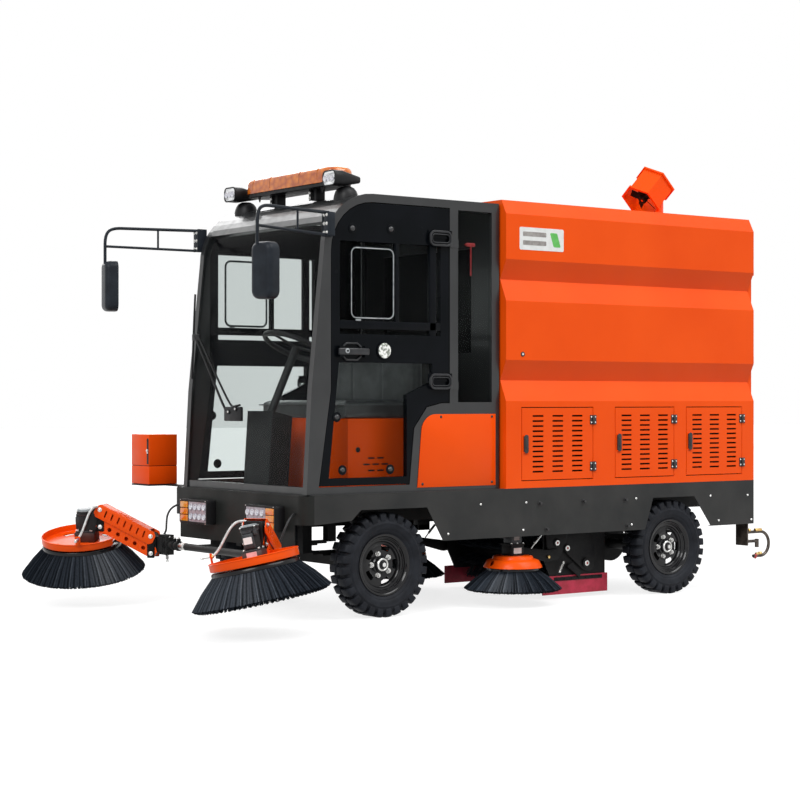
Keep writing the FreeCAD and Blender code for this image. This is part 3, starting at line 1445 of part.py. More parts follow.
def mirrors():
    base = box(
        MIRROR_BASE_REAR_X,
        MIRROR_BASE_FRONT_X,
        CAB_Y,
        CAB_Y + MIRROR_BASE_DEPTH,
        MIRROR_BASE_LOW_Z - MIRROR_TUBE_RADIUS,
        MIRROR_ARM_TOP_Z + MIRROR_TUBE_RADIUS,
    )
    root_y = CAB_Y + MIRROR_BASE_DEPTH / 2
    root_x = (MIRROR_BASE_REAR_X + MIRROR_BASE_FRONT_X) / 2
    post_top = (MIRROR_POST_X, MIRROR_POST_Y, MIRROR_ARM_TOP_Z)
    post_low = (MIRROR_POST_X, MIRROR_POST_Y, MIRROR_ARM_LOW_Z)
    post_foot = (MIRROR_POST_X, MIRROR_POST_Y, MIRROR_Z + MIRROR_HEIGHT * MIRROR_FOOT_SHARE)
    arm_root = (root_x, root_y, MIRROR_ARM_TOP_Z)
    low_root = (root_x, root_y, MIRROR_BASE_LOW_Z)
    share = MIRROR_STRUT_SHARE
    strut_top = tuple(a + (b - a) * share for a, b in zip(arm_root, post_top))
    strut_low = tuple(a + (b - a) * share for a, b in zip(low_root, post_low))
    tubes = [
        bent_tube(arm_root, post_top, post_foot, MIRROR_BEND_RADIUS, MIRROR_TUBE_RADIUS),
        rod(low_root, post_low, MIRROR_LOW_TUBE_RADIUS),
        rod(strut_top, strut_low, MIRROR_STRUT_RADIUS),
    ]
    rings = []
    for ahead, share in ((-MIRROR_DEPTH / 2, 1.0), (MIRROR_DEPTH / 6, 1.0), (MIRROR_DEPTH / 2, MIRROR_BACK_SHARE)):
        outline = rounded_outline(MIRROR_WIDTH * share, MIRROR_HEIGHT * share, MIRROR_CORNER, MIRROR_CORNER_STEPS)
        rings.append([(MIRROR_X + ahead, MIRROR_Y + y, MIRROR_Z + z) for y, z in outline])
    head = fuse([tapered_prism(rings[:2]), tapered_prism(rings[1:])])
    head = turned_about(head, (MIRROR_X, MIRROR_Y, MIRROR_Z), (0, 0, 1), MIRROR_TOE)
    return both(fuse([base, head] + tubes))


def roof_height(x):
    """The height of the roof's outside at a place along the cab."""
    ahead = max(x - BROW_X, 0)
    return CAB_TOP - BROW_RADIUS + math.sqrt(BROW_RADIUS**2 - ahead**2)


def lamps():
    headlamp = box(
        FRONT_FACE_X,
        FRONT_FACE_X + HEADLAMP_DEPTH,
        HEADLAMP_INNER_Y,
        HEADLAMP_OUTER_Y,
        HEADLAMP_BOTTOM,
        HEADLAMP_TOP,
    )
    recess = box(
        FRONT_FACE_X + HEADLAMP_DEPTH - HEADLAMP_LENS_INSET,
        FRONT_FACE_X + HEADLAMP_DEPTH + OVERRUN,
        HEADLAMP_INNER_Y + HEADLAMP_RIM,
        HEADLAMP_OUTER_Y - HEADLAMP_RIM,
        HEADLAMP_BOTTOM + HEADLAMP_RIM,
        HEADLAMP_TOP - HEADLAMP_RIM,
    )
    headlamp = headlamp.cut(recess)
    work = work_lamp()
    pieces = [headlamp, mirrored(headlamp), work, mirrored(work), light_bar()]
    return Part.Compound(pieces)


def work_lamp():
    """A teardrop roof lamp on its domed foot."""
    front_x = WORK_LAMP_X + WORK_LAMP_LENGTH / 3
    tail_x = front_x - WORK_LAMP_LENGTH
    half_w = WORK_LAMP_WIDTH / 2
    half_h = WORK_LAMP_HEIGHT / 2
    rings = []
    for x, share in ((front_x, 1.0), (WORK_LAMP_X, 1.0), (tail_x, WORK_LAMP_TAIL_SHARE)):
        corner = WORK_LAMP_CORNER * share
        outline = rounded_outline(half_w * 2 * share, half_h * 2 * share, corner, WORK_LAMP_CORNER_STEPS)
        rings.append([(x, WORK_LAMP_Y + y, WORK_LAMP_Z + z) for y, z in outline])
    lens = rounded_outline(
        (half_w - WORK_LAMP_RIM) * 2, (half_h - WORK_LAMP_RIM) * 2, WORK_LAMP_CORNER, WORK_LAMP_CORNER_STEPS
    )
    recess = prism_x(
        [(WORK_LAMP_Y + y, WORK_LAMP_Z + z) for y, z in lens], front_x - WORK_LAMP_RIM, front_x + OVERRUN
    )
    hull = fuse([tapered_prism(rings[:2]), tapered_prism(rings[1:])]).cut(recess)
    foot_x = WORK_LAMP_X - WORK_LAMP_LENGTH / 4
    foot = rod(
        (foot_x, WORK_LAMP_Y, roof_height(foot_x + WORK_LAMP_FOOT_RADIUS)),
        (foot_x, WORK_LAMP_Y, WORK_LAMP_Z),
        WORK_LAMP_FOOT_RADIUS,
    )
    return fuse([hull, foot]).cut(cab_roof())


def light_bar():
    half = BAR_HALF_LENGTH
    outline = rounded_outline(BAR_DEPTH, half * 2, BAR_END_CORNER, BAR_CORNER_STEPS)
    crown = rounded_outline(BAR_DEPTH - BAR_TAPER, half * 2 - BAR_TAPER, BAR_END_CORNER, BAR_CORNER_STEPS)
    tray_top = BAR_BOTTOM + BAR_TRAY
    shoulder = BAR_BOTTOM + BAR_HEIGHT - BAR_TAPER / 2
    tray = prism_z([(BAR_X + x, y) for x, y in crown], BAR_BOTTOM, tray_top)
    rings = [
        [(BAR_X + x, y, z) for x, y in ring]
        for ring, z in ((outline, tray_top), (outline, shoulder), (crown, BAR_BOTTOM + BAR_HEIGHT))
    ]
    bar = fuse([tray, tapered_prism(rings[:2]), tapered_prism(rings[1:])])
    feet = [
        box(
            BAR_X - BAR_FOOT_SIZE / 2,
            BAR_X + BAR_FOOT_SIZE / 2,
            y - BAR_FOOT_SIZE / 2,
            y + BAR_FOOT_SIZE / 2,
            roof_height(BAR_X + BAR_FOOT_SIZE / 2),
            BAR_BOTTOM,
        )
        for y in (-BAR_FOOT_Y, BAR_FOOT_Y)
    ]
    return fuse([bar] + feet).cut(cab_roof())


def utility_box():
    """The box at the right front corner, on its shelf and gusset."""
    body = box(BOX_REAR_X, BOX_FRONT_X, -BOX_OUTER_Y, -BOX_INNER_Y, BOX_BOTTOM, BOX_TOP)
    inset = BOX_SEAM_DEPTH
    core = box(
        BOX_REAR_X + inset,
        BOX_FRONT_X - inset,
        inset - BOX_OUTER_Y,
        -inset - BOX_INNER_Y,
        BOX_BOTTOM,
        BOX_TOP,
    )
    seam = box(
        BOX_REAR_X - OVERRUN,
        BOX_FRONT_X + OVERRUN,
        -BOX_OUTER_Y - OVERRUN,
        OVERRUN - BOX_INNER_Y,
        BOX_SEAM_Z - BOX_SEAM_HEIGHT / 2,
        BOX_SEAM_Z + BOX_SEAM_HEIGHT / 2,
    ).cut(core)
    slot_y = -BOX_INNER_Y - BOX_SLOT_INSET - BOX_SLOT_WIDTH / 2
    slot_top = BOX_TOP - BOX_SLOT_DROP - BOX_SLOT_WIDTH / 2
    slot_x = BOX_FRONT_X - BOX_SEAM_DEPTH
    slot = box(
        slot_x,
        BOX_FRONT_X + OVERRUN,
        slot_y - BOX_SLOT_WIDTH / 2,
        slot_y + BOX_SLOT_WIDTH / 2,
        BOX_SEAM_Z,
        slot_top,
    )
    slot = slot.fuse(rod((slot_x, slot_y, slot_top), (BOX_FRONT_X + OVERRUN, slot_y, slot_top), BOX_SLOT_WIDTH / 2))
    body = cut(body, [seam, slot])
    shelf = box(
        BOX_REAR_X,
        FRONT_FACE_X - CORNER_RADIUS,
        -BOX_OUTER_Y,
        -HALF_WIDTH,
        BOX_BOTTOM - BOX_SHELF,
        BOX_BOTTOM,
    )
    web = prism_x(
        [
            (-HALF_WIDTH, BOX_BOTTOM - BOX_SHELF),
            (-BOX_OUTER_Y, BOX_BOTTOM - BOX_SHELF),
            (-HALF_WIDTH, BOX_BOTTOM - BOX_SHELF - BOX_GUSSET_DROP),
        ],
        BOX_REAR_X,
        BOX_REAR_X + BOX_SHELF,
    )
    return fuse([body, shelf, web])


def cowl_axis():
    rise = math.radians(COWL_RISE)
    return Vector(-math.cos(rise), 0, math.sin(rise))


def hexagon(centre, radius):
    """A six-sided ring square to the cowl's axis."""
    axis = cowl_axis()
    side = Vector(0, 1, 0)
    up = axis.cross(side)
    points = []
    for i in range(6):
        angle = math.pi / 3 * i + math.pi / 6
        points.append(tuple(centre + side * (radius * math.cos(angle)) + up * (radius * math.sin(angle))))
    return wire(points)


def cowl_centre():
    return Vector(COWL_X, COWL_Y, COWL_Z)


def exhaust_cowl():
    axis = cowl_axis()
    start = cowl_centre() - axis * (COWL_LENGTH / 2)
    length = axis * COWL_LENGTH
    outer = Part.Face(hexagon(start, COWL_RADIUS)).extrude(length)
    inner = Part.Face(hexagon(start - axis * OVERRUN, COWL_RADIUS - COWL_WALL)).extrude(length + axis * (2 * OVERRUN))
    tube = outer.cut(inner)
    flanges = []
    for place in (start, start + axis * (COWL_LENGTH - COWL_FLANGE)):
        ring = Part.Face(hexagon(place, COWL_RADIUS + COWL_FLANGE)).extrude(axis * COWL_FLANGE)
        flanges.append(ring.cut(inner))
    neck = rod((COWL_X, COWL_Y, BODY_TOP), (COWL_X, COWL_Y, COWL_Z), COWL_BASE_RADIUS).cut(
        Part.Face(hexagon(start - axis * COWL_LENGTH, COWL_RADIUS)).extrude(length * 3)
    )
    bar = rod(
        tuple(cowl_centre() + Vector(0, -COWL_RADIUS * math.cos(math.pi / 6), 0)),
        tuple(cowl_centre() + Vector(0, COWL_RADIUS * math.cos(math.pi / 6), 0)),
        FAN_SHAFT_RADIUS,
    )
    bar = bar.common(outer)
    shaft = rod(
        tuple(cowl_centre()),
        tuple(cowl_centre() - axis * (FAN_HUB_LENGTH * 3 / 2)),
        FAN_SHAFT_RADIUS,
    )
    return fuse([tube, neck, bar, shaft] + flanges)


def cowl_fan():
    """The exhaust fan, bored for the shaft it turns on."""
    axis = cowl_axis()
    back = cowl_centre() - axis * (FAN_HUB_LENGTH / 2)
    front = back - axis * FAN_HUB_LENGTH
    hub = rod(tuple(back), tuple(front), FAN_HUB_RADIUS)
    side = Vector(0, 1, 0)
    middle = (back + front) * (1 / 2)
    blade = Part.makeBox(
        FAN_RADIUS - FAN_HUB_RADIUS / 2,
        FAN_BLADE_LENGTH,
        FAN_BLADE_SHEET,
        Vector(FAN_HUB_RADIUS / 2, -FAN_BLADE_LENGTH / 2, -FAN_BLADE_SHEET / 2),
    )
    blade = blade.rotated(Vector(0, 0, 0), Vector(1, 0, 0), FAN_BLADE_PITCH)
    up = axis.cross(side)
    blades = []
    for i in range(FAN_BLADES):
        turned = blade.rotated(Vector(0, 0, 0), Vector(0, 0, 1), 360 * i / FAN_BLADES)
        turned.Placement = FreeCAD.Placement(middle, Rotation(side, up, side.cross(up), "ZXY")) * turned.Placement
        blades.append(turned)
    bore = rod(tuple(back + axis * OVERRUN), tuple(front - axis * OVERRUN), FAN_SHAFT_RADIUS + PIN_PLAY)
    return fuse([hub] + blades).cut(bore)


# Front brush arms, all worked out for the left side


def along(distance):
    """A point's plan offset from the swing pivot, measured along the arm."""
    return Vector(distance * ARM_COS, distance * ARM_SIN, 0)


def pivot():
    return Vector(PIVOT_X, PIVOT_Y, ARM_Z)


def pin_places():
    """The four link pins: inner low, inner high, outer low and outer high."""
    inner = pivot() + along(INNER_PIN_REACH)
    outer = inner + along(LINK_RUN) + Vector(0, 0, LINK_RISE)
    half = Vector(0, 0, LINK_SPACING / 2)
    return inner - half, inner + half, outer - half, outer + half


def across():
    """The direction of the link pins, level and square to the arm."""
    return Vector(-ARM_SIN, ARM_COS, 0)


def arm_slab(points, thickness):
    """An outline of (distance along the arm, height) points, as thick as given across the arm."""
    base = Vector(PIVOT_X, PIVOT_Y, 0) - across() * (thickness / 2)
    ring = [tuple(base + along(d) + Vector(0, 0, z)) for d, z in points]
    return Part.Face(wire(ring)).extrude(across() * thickness)


def arm_pin(place, width, radius):
    return rod(tuple(place - across() * (width / 2)), tuple(place + across() * (width / 2)), radius)


def link_pins(low, high):
    """The bosses and pins of one end of the arm, the upper ones wider for the upper link."""
    return [
        arm_pin(low, TONGUE_THICKNESS, TONGUE_RADIUS),
        arm_pin(high, HIGH_BOSS_WIDTH, TONGUE_RADIUS),
        arm_pin(low, LOW_LINK_WIDTH + 2 * LINK_SHEET, LINK_PIN_RADIUS),
        arm_pin(high, LINK_WIDTH + 2 * LINK_SHEET, LINK_PIN_RADIUS),
    ]


def swing_bracket():
    """The bracket that swings on the fork's pin and carries the inner link pins."""
    low, high, _, _ = pin_places()
    half = PIVOT_BARREL_HEIGHT / 2
    barrel = rod(
        (PIVOT_X, PIVOT_Y, ARM_Z - half),
        (PIVOT_X, PIVOT_Y, ARM_Z + half),
        PIVOT_BARREL_RADIUS,
    )
    start = INNER_PIN_REACH - LINK_END
    neck = arm_slab([(0, ARM_Z - half), (start, ARM_Z - half), (start, ARM_Z + half), (0, ARM_Z + half)], NECK_THICKNESS)
    tongue = arm_slab(
        [
            (start, ARM_Z - half),
            (INNER_PIN_REACH, low.z - TONGUE_RADIUS),
            (INNER_PIN_REACH, high.z + TONGUE_RADIUS),
            (start, ARM_Z + half),
        ],
        TONGUE_THICKNESS,
    )
    whole = fuse([barrel, neck, tongue] + link_pins(low, high))
    bore = rod(
        (PIVOT_X, PIVOT_Y, ARM_Z - PIVOT_BARREL_HEIGHT),
        (PIVOT_X, PIVOT_Y, ARM_Z + PIVOT_BARREL_HEIGHT),
        PIVOT_PIN_RADIUS + PIN_PLAY,
    )
    return whole.cut(bore)


def link(inner, outer, above, below, width, web_up):
    """A channel link between two pins, bored at both ends and pierced along its sides."""
    run = (outer - inner).dot(along(1.0))
    rise = outer.z - inner.z
    length = math.hypot(run, rise)
    ux, uz = run / length, rise / length
    start = (inner - pivot()).dot(along(1.0))

    def at(distance, height):
        return (start + distance * ux - height * uz, inner.z + distance * uz + height * ux)

    tip = LINK_END - LINK_CHAMFER
    outline = [
        at(-LINK_END, LINK_CHAMFER - below),
        at(-tip, -below),
        at(length + tip, -below),
        at(length + LINK_END, LINK_CHAMFER - below),
        at(length + LINK_END, above - LINK_CHAMFER),
        at(length + tip, above),
        at(-tip, above),
        at(-LINK_END, above - LINK_CHAMFER),
    ]
    whole = arm_slab(outline, width)
    inside = width - 2 * LINK_SHEET
    low = -below - OVERRUN if web_up else -below + LINK_SHEET
    high = above - LINK_SHEET if web_up else above + OVERRUN

    def hollow(first, last, bottom, top):
        return arm_slab([at(first, bottom), at(last, bottom), at(last, top), at(first, top)], inside)

    far = length + LINK_END + OVERRUN
    near = -LINK_END - OVERRUN
    hollows = [hollow(near, far, low, high)]
    if web_up:
        hollows.append(hollow(near, LINK_END, -below - OVERRUN, above + OVERRUN))
    else:
        hollows.append(hollow(length - LINK_END, far, -below - OVERRUN, above + OVERRUN))
    bores = [arm_pin(place, width * 2, LINK_PIN_RADIUS + PIN_PLAY) for place in (inner, outer)]
    openings = []
    if web_up:
        lean = math.radians(UPPER_SLOT_LEAN)
        middle = (above - below) / 2
        half = UPPER_SLOT_LENGTH / 2
        for i in range(UPPER_SLOTS):
            place = length * (i + 1) / (UPPER_SLOTS + 1)
            ends = []
            for sign in (-1.0, 1.0):
                shift, climb = sign * half * math.cos(lean), sign * half * math.sin(lean)
                for side in (-sign, sign):
                    off = side * UPPER_SLOT_WIDTH / 2
                    ends.append(at(place + shift - off * math.sin(lean), middle + climb + off * math.cos(lean)))
            openings.append(arm_slab(ends, width * 2))
    else:
        for i in range(LOWER_HOLES):
            distance, z = at(length * (i + 1) / (LOWER_HOLES + 1), LOWER_HOLE_RISE)
            centre = Vector(PIVOT_X, PIVOT_Y, z) + along(distance)
            openings.append(arm_pin(centre, width * 2, LOWER_HOLE_RADIUS))
    return cut(whole, hollows + bores + openings)


def upper_link():
    _, inner, _, outer = pin_places()
    return link(inner, outer, LINK_UP, LINK_DOWN, LINK_WIDTH, True)


def lower_link():
    inner, _, outer, _ = pin_places()
    return link(inner, outer, LOW_LINK_UP, LOW_LINK_DOWN, LOW_LINK_WIDTH, False)


def brush_tilt(shape):
    """Lean a piece that was built upright about the brush centre, down towards the front and inside."""
    angle = math.radians(45)
    axis = (math.sin(angle), math.cos(angle), 0)
    return turned_about(shape, (BRUSH_X, BRUSH_Y, BRUSH_Z), axis, BRUSH_TILT)


def brush_dish():
    """The guard dish over the brush, open at its rim."""
    floor = Part.makeCylinder(DISH_RADIUS, DISH_SHEET, Vector(BRUSH_X, BRUSH_Y, BRUSH_Z))
    wall = Part.makeCylinder(DISH_RADIUS, DISH_RIM_HEIGHT, Vector(BRUSH_X, BRUSH_Y, BRUSH_Z))
    wall = wall.cut(
        Part.makeCylinder(DISH_RADIUS - DISH_SHEET, DISH_RIM_HEIGHT * 2, Vector(BRUSH_X, BRUSH_Y, BRUSH_Z))
    )
    hole = Part.makeCylinder(
        DRIVE_RADIUS + MOVING_GAP, DISH_RIM_HEIGHT, Vector(BRUSH_X, BRUSH_Y, BRUSH_Z - DISH_RIM_HEIGHT / 2)
    )
    low = -LOW_LINK_WIDTH / 2 - MOVING_GAP - BRUSH_SIDE_STEP
    high = LOW_LINK_WIDTH / 2 + MOVING_GAP - BRUSH_SIDE_STEP
    outline = [(-DISH_RADIUS * 2, low), (NOTCH_DEPTH - DISH_RADIUS, low)]
    outline += [(NOTCH_DEPTH - DISH_RADIUS, high), (-DISH_RADIUS * 2, high)]
    notch = Part.Face(wire([(x, y, -DISH_RADIUS) for x, y in outline])).extrude(Vector(0, 0, DISH_RADIUS * 2))
    notch = turned_about(notch, (0, 0, 0), (0, 0, 1), ARM_PLAN_ANGLE)
    notch.translate(Vector(BRUSH_X, BRUSH_Y, BRUSH_Z))
    return cut(brush_tilt(fuse([floor, wall]).cut(hole)), [notch])


def brush_head():
    """The outer bracket with the brush motor, its gearbox and drive shaft."""
    _, _, low, high = pin_places()
    distance = (low - pivot()).dot(along(1.0))
    plate_far = distance + LINK_END + MOVING_GAP + TONGUE_RADIUS
    tongue = arm_slab(
        [
            (distance, low.z - TONGUE_RADIUS),
            (plate_far, low.z - TONGUE_RADIUS),
            (plate_far, high.z + TONGUE_RADIUS),
            (distance, high.z + TONGUE_RADIUS),
        ],
        TONGUE_THICKNESS,
    )
    gear_top = BRUSH_Z + DISH_SHEET + GEARBOX_HEIGHT
    gusset = arm_slab(
        [
            (plate_far - TONGUE_RADIUS, low.z - TONGUE_RADIUS),
            (plate_far, gear_top - GEARBOX_HEIGHT / 2),
            (BRUSH_REACH - MOTOR_OFFSET, gear_top - GEARBOX_HEIGHT / 2),
            (BRUSH_REACH - MOTOR_OFFSET, gear_top + MOTOR_CAP_HEIGHT),
            (plate_far, high.z),
            (plate_far - TONGUE_RADIUS, high.z),
        ],
        GEARBOX_WIDTH / 2,
    )
    half = GEARBOX_WIDTH / 2
    gearbox = box(
        BRUSH_X + GEARBOX_LEAD - GEARBOX_LENGTH,
        BRUSH_X + GEARBOX_LEAD,
        BRUSH_Y - half,
        BRUSH_Y + half,
        BRUSH_Z + DISH_SHEET,
        gear_top,
    )
    motor_x = BRUSH_X - MOTOR_OFFSET
    cap_z = gear_top + MOTOR_HEIGHT - MOTOR_CAP_HEIGHT
    body = Part.makeCylinder(MOTOR_RADIUS, MOTOR_HEIGHT - MOTOR_CAP_HEIGHT / 2, Vector(motor_x, BRUSH_Y, gear_top))
    cap = Part.makeCylinder(MOTOR_CAP_RADIUS, MOTOR_CAP_HEIGHT, Vector(motor_x, BRUSH_Y, cap_z))
    shaft = Part.makeCylinder(
        DRIVE_RADIUS,
        DISC_DEPTH * 2 + DISH_SHEET,
        Vector(BRUSH_X, BRUSH_Y, BRUSH_Z + DISH_SHEET * 2 - DISC_DEPTH * 2),
    )
    drive = turned_about(fuse([gearbox, body, cap, shaft]), (BRUSH_X, BRUSH_Y, BRUSH_Z), (0, 0, 1), ARM_PLAN_ANGLE)
    return fuse([tongue, gusset, brush_tilt(drive)] + link_pins(low, high))


def bristle_profile(top_radius, tip_radius, length, wall):
    """The flared skirt of bristles in section, hollow inside."""
    return [
        (top_radius - wall, 0),
        (top_radius, 0),
        (tip_radius, -length),
        (tip_radius - wall, -length),
    ]


def side_brush():
    """The turning brush: a drive disc and its flared skirt of bristles."""
    top = BRUSH_Z - MOVING_GAP
    disc = Part.makeCylinder(DISC_RADIUS, DISC_DEPTH, Vector(BRUSH_X, BRUSH_Y, top - DISC_DEPTH))
    skirt = turned_z(
        bristle_profile(DISC_RADIUS, BRISTLE_TIP_RADIUS, BRISTLE_LENGTH, BRISTLE_WALL),
        BRUSH_X,
        BRUSH_Y,
        top - DISC_DEPTH / 2,
    )
    hub = Part.makeCylinder(DRIVE_RADIUS * 3, DISC_DEPTH * 2, Vector(BRUSH_X, BRUSH_Y, top - DISC_DEPTH * 2))
    bore = Part.makeCylinder(
        DRIVE_RADIUS + PIN_PLAY, DISC_DEPTH * 4, Vector(BRUSH_X, BRUSH_Y, top - DISC_DEPTH * 3)
    )
    return brush_tilt(fuse([disc, skirt, hub]).cut(bore))


# Brushes under the middle and the roller


def mid_brush():
    top = MID_TOP_Z
    plate = Part.makeCylinder(MID_PLATE_RADIUS, DISC_DEPTH, Vector(MID_BRUSH_X, MID_BRUSH_Y, top - DISC_DEPTH))
    skirt = turned_z(
        bristle_profile(MID_PLATE_RADIUS, MID_TIP_RADIUS, MID_TOP_Z - MID_TIP_Z, BRISTLE_WALL),
        MID_BRUSH_X,
        MID_BRUSH_Y,
        top,
    )
    bore = Part.makeCylinder(
        DRIVE_RADIUS + PIN_PLAY, DISC_DEPTH * 3, Vector(MID_BRUSH_X, MID_BRUSH_Y, top - DISC_DEPTH * 2)
    )
    return fuse([plate, skirt]).cut(bore)


def mid_brush_heads():
    """The fixed guard dishes, motors and carriers of the middle brushes."""
    dish = Part.makeCone(
        MID_DISH_RADIUS,
        MID_DISH_RADIUS * 3 / 4,
        MID_DISH_HEIGHT,
        Vector(MID_BRUSH_X, MID_BRUSH_Y, MID_TOP_Z + MOVING_GAP),
    )
    half = MID_MOTOR_SIZE / 2
    motor = box(
        MID_BRUSH_X - half,
        MID_BRUSH_X + half,
        MID_BRUSH_Y - half,
        MID_BRUSH_Y + half,
        MID_TOP_Z + MID_DISH_HEIGHT,
        MID_MOTOR_TOP,
    )
    shaft = rod(
        (MID_BRUSH_X, MID_BRUSH_Y, MID_TOP_Z - DISC_DEPTH * 2 / 3),
        (MID_BRUSH_X, MID_BRUSH_Y, MID_TOP_Z + MID_DISH_HEIGHT),
        DRIVE_RADIUS,
    )
    post = box(
        MID_BRUSH_X - half,
        MID_BRUSH_X + half,
        RAIL_Y - RAIL_WIDTH / 2,
        MID_BRUSH_Y + half,
        MID_MOTOR_TOP,
        MID_ARM_TOP,
    )
    hanger = box(
        MID_BRUSH_X - half,
        MID_BRUSH_X + half,
        RAIL_Y - RAIL_WIDTH / 2,
        RAIL_Y + RAIL_WIDTH / 2,
        MID_ARM_TOP,
        STRIP_BOTTOM - RAIL_DEPTH,
    )
    return both(fuse([dish, motor, shaft, post, hanger]))


def roller_brush():
    """The main roller: a core with rows of bristles, bored at both ends."""
    pieces = [
        rod((ROLLER_X, -ROLLER_HALF, ROLLER_Z), (ROLLER_X, ROLLER_HALF, ROLLER_Z), ROLLER_CORE_RADIUS)
    ]
    for i in range(ROLLER_ROWS):
        row = box(
            ROLLER_X - ROLLER_ROW_THICKNESS / 2,
            ROLLER_X + ROLLER_ROW_THICKNESS / 2,
            -ROLLER_HALF,
            ROLLER_HALF,
            ROLLER_Z,
            ROLLER_Z + ROLLER_RADIUS,
        )
        pieces.append(turned_about(row, (ROLLER_X, 0, ROLLER_Z), (0, 1, 0), 360 * i / ROLLER_ROWS))
    bores = [
        rod(
            (ROLLER_X, side * (ROLLER_HALF - ROLLER_SHAFT_LENGTH - SEAT_GAP), ROLLER_Z),
            (ROLLER_X, side * (ROLLER_HALF + OVERRUN), ROLLER_Z),
            ROLLER_SHAFT_RADIUS + PIN_PLAY,
        )
        for side in (1.0, -1.0)
    ]
    return cut(fuse(pieces), bores)


def roller_chamber():
    """The side plates, hood and stub shafts that carry the roller."""
    plate = prism_y(
        [
            (CHAMBER_FRONT_X, CHAMBER_BOTTOM + CHAMBER_NOSE_HEIGHT),
            (CHAMBER_FRONT_X - CHAMBER_NOSE_LENGTH, CHAMBER_BOTTOM),
            (CHAMBER_REAR_X, CHAMBER_BOTTOM),
            (CHAMBER_REAR_X, CHAMBER_TOP),
            (CHAMBER_FRONT_X, CHAMBER_TOP),
        ],
        CHAMBER_Y,
        CHAMBER_Y + CHAMBER_SHEET,
    )
    shaft = rod(
        (ROLLER_X, ROLLER_HALF - ROLLER_SHAFT_LENGTH, ROLLER_Z),
        (ROLLER_X, CHAMBER_Y + CHAMBER_SHEET, ROLLER_Z),
        ROLLER_SHAFT_RADIUS,
    )
    left = fuse([plate, shaft])
    hood = box(CHAMBER_REAR_X, CHAMBER_FRONT_X, -CHAMBER_Y, CHAMBER_Y, CHAMBER_TOP - CHAMBER_SHEET, CHAMBER_TOP)
    rear = box(
        CHAMBER_REAR_X,
        CHAMBER_REAR_X + CHAMBER_SHEET,
        -CHAMBER_Y,
        CHAMBER_Y,
        CHAMBER_BOTTOM,
        CHAMBER_TOP,
    )
    return fuse([left, mirrored(left), hood, rear])


def side_flaps():
    inner = CHAMBER_Y + CHAMBER_SHEET
    flap = box(CHAMBER_REAR_X - FLAP_OVERLAP, CHAMBER_FRONT_X + FLAP_OVERLAP, inner, inner + FLAP_SHEET, FLAP_BOTTOM, FLAP_TOP)
    return both(flap)


def rear_pipes():
    """Water pipes behind the left rear corner, each ending in a nozzle."""
    bend_radius = (PIPE_HIGH_Z - PIPE_LOW_Z) / 2
    bend_x = PIPE_BEND_X + bend_radius
    middle_z = (PIPE_HIGH_Z + PIPE_LOW_Z) / 2
    section = Part.Face(Part.Wire(Part.makeCircle(PIPE_RADIUS, Vector(bend_x, PIPE_Y, PIPE_HIGH_Z), Vector(1, 0, 0))))
    bend = section.revolve(Vector(bend_x, PIPE_Y, middle_z), Vector(0, -1, 0), 180)
    hose = fuse(
        [
            bend,
            rod((PIPE_ROOT_X, PIPE_Y, PIPE_HIGH_Z), (bend_x, PIPE_Y, PIPE_HIGH_Z), PIPE_RADIUS),
            rod((PIPE_RETURN_X, PIPE_Y, PIPE_LOW_Z), (bend_x, PIPE_Y, PIPE_LOW_Z), PIPE_RADIUS),
        ]
    )
    middle = fuse(
        [
            rod((PIPE_ROOT_X, PIPE_Y, PIPE_MIDDLE_Z), (PIPE_NOZZLE_X, PIPE_Y, PIPE_MIDDLE_Z), PIPE_RADIUS),
            rod(
                (PIPE_NOZZLE_X, PIPE_Y, PIPE_MIDDLE_Z + PIPE_NOZZLE_RADIUS),
                (PIPE_NOZZLE_X, PIPE_Y, PIPE_MIDDLE_Z - PIPE_NOZZLE_DROP),
                PIPE_NOZZLE_RADIUS,
            ),
        ]
    )
    plate = box(
        PIPE_ROOT_X,
        PIPE_ROOT_X + PIPE_RADIUS,
        PIPE_Y - PIPE_RADIUS * 3,
        HALF_WIDTH - SKIRT_LIP,
        PIPE_MIDDLE_Z - PIPE_PLATE_DROP,
        STRIP_BOTTOM,
    )
    return both(fuse([hose, middle, plate]))


def nodes():
    """Every sub-part by name."""
    parts = {
        "chassis_frame": chassis_frame(),
        "axles": axles(),
        "side_skirts": side_skirts(),
        "front_panel": front_panel(),
        "cab_frame": cab_frame(),
        "cab_roof": cab_roof(),
        "cab_glass": cab_glass(),
        "cab_side_panels": cab_side_panels(),
        "cab_interior": cab_interior(),
        "seat_box": seat_box(),
        "seat": seat(),
        "body_shell": body_shell(),
        "battery_pack": battery_pack(),
        "mirrors": mirrors(),
        "lamps": lamps(),
        "utility_box": utility_box(),
        "exhaust_cowl": exhaust_cowl(),
        "cowl_fan": cowl_fan(),
        "mid_brush_heads": mid_brush_heads(),
        "roller_chamber": roller_chamber(),
        "roller_brush": roller_brush(),
        "side_flaps": side_flaps(),
        "rear_pipes": rear_pipes(),
    }
    left_hand = {
        "knuckle": knuckle(),
        "cab_door": cab_door(),
        "door_glass": door_glass(),
        "rear_door": rear_door(),
        "swing_bracket": swing_bracket(),
        "upper_link": upper_link(),
        "lower_link": lower_link(),
        "brush_head": brush_head(),
        "brush_dish": brush_dish(),
        "side_brush": side_brush(),
        "mid_brush": mid_brush(),
        "tyre_front": tyre(FRONT_AXLE_X),
        "tyre_rear": tyre(REAR_AXLE_X),
        "rim_front": rim(FRONT_AXLE_X),
        "rim_rear": rim(REAR_AXLE_X),
    }
    for place, span in zip(("front", "middle", "rear"), VENT_SPANS_X):
        left_hand["vent_door_" + place] = vent_door(span)
    for name, shape in left_hand.items():
        for word, side in SIDES.items():
            parts[name + "_" + word] = sided(shape, side)
    return parts


os.makedirs("parts", exist_ok=True)
for node, shape in nodes().items():
    shape.exportStep("parts/" + node + ".step")
    print(node, len(shape.Solids), shape.isValid())
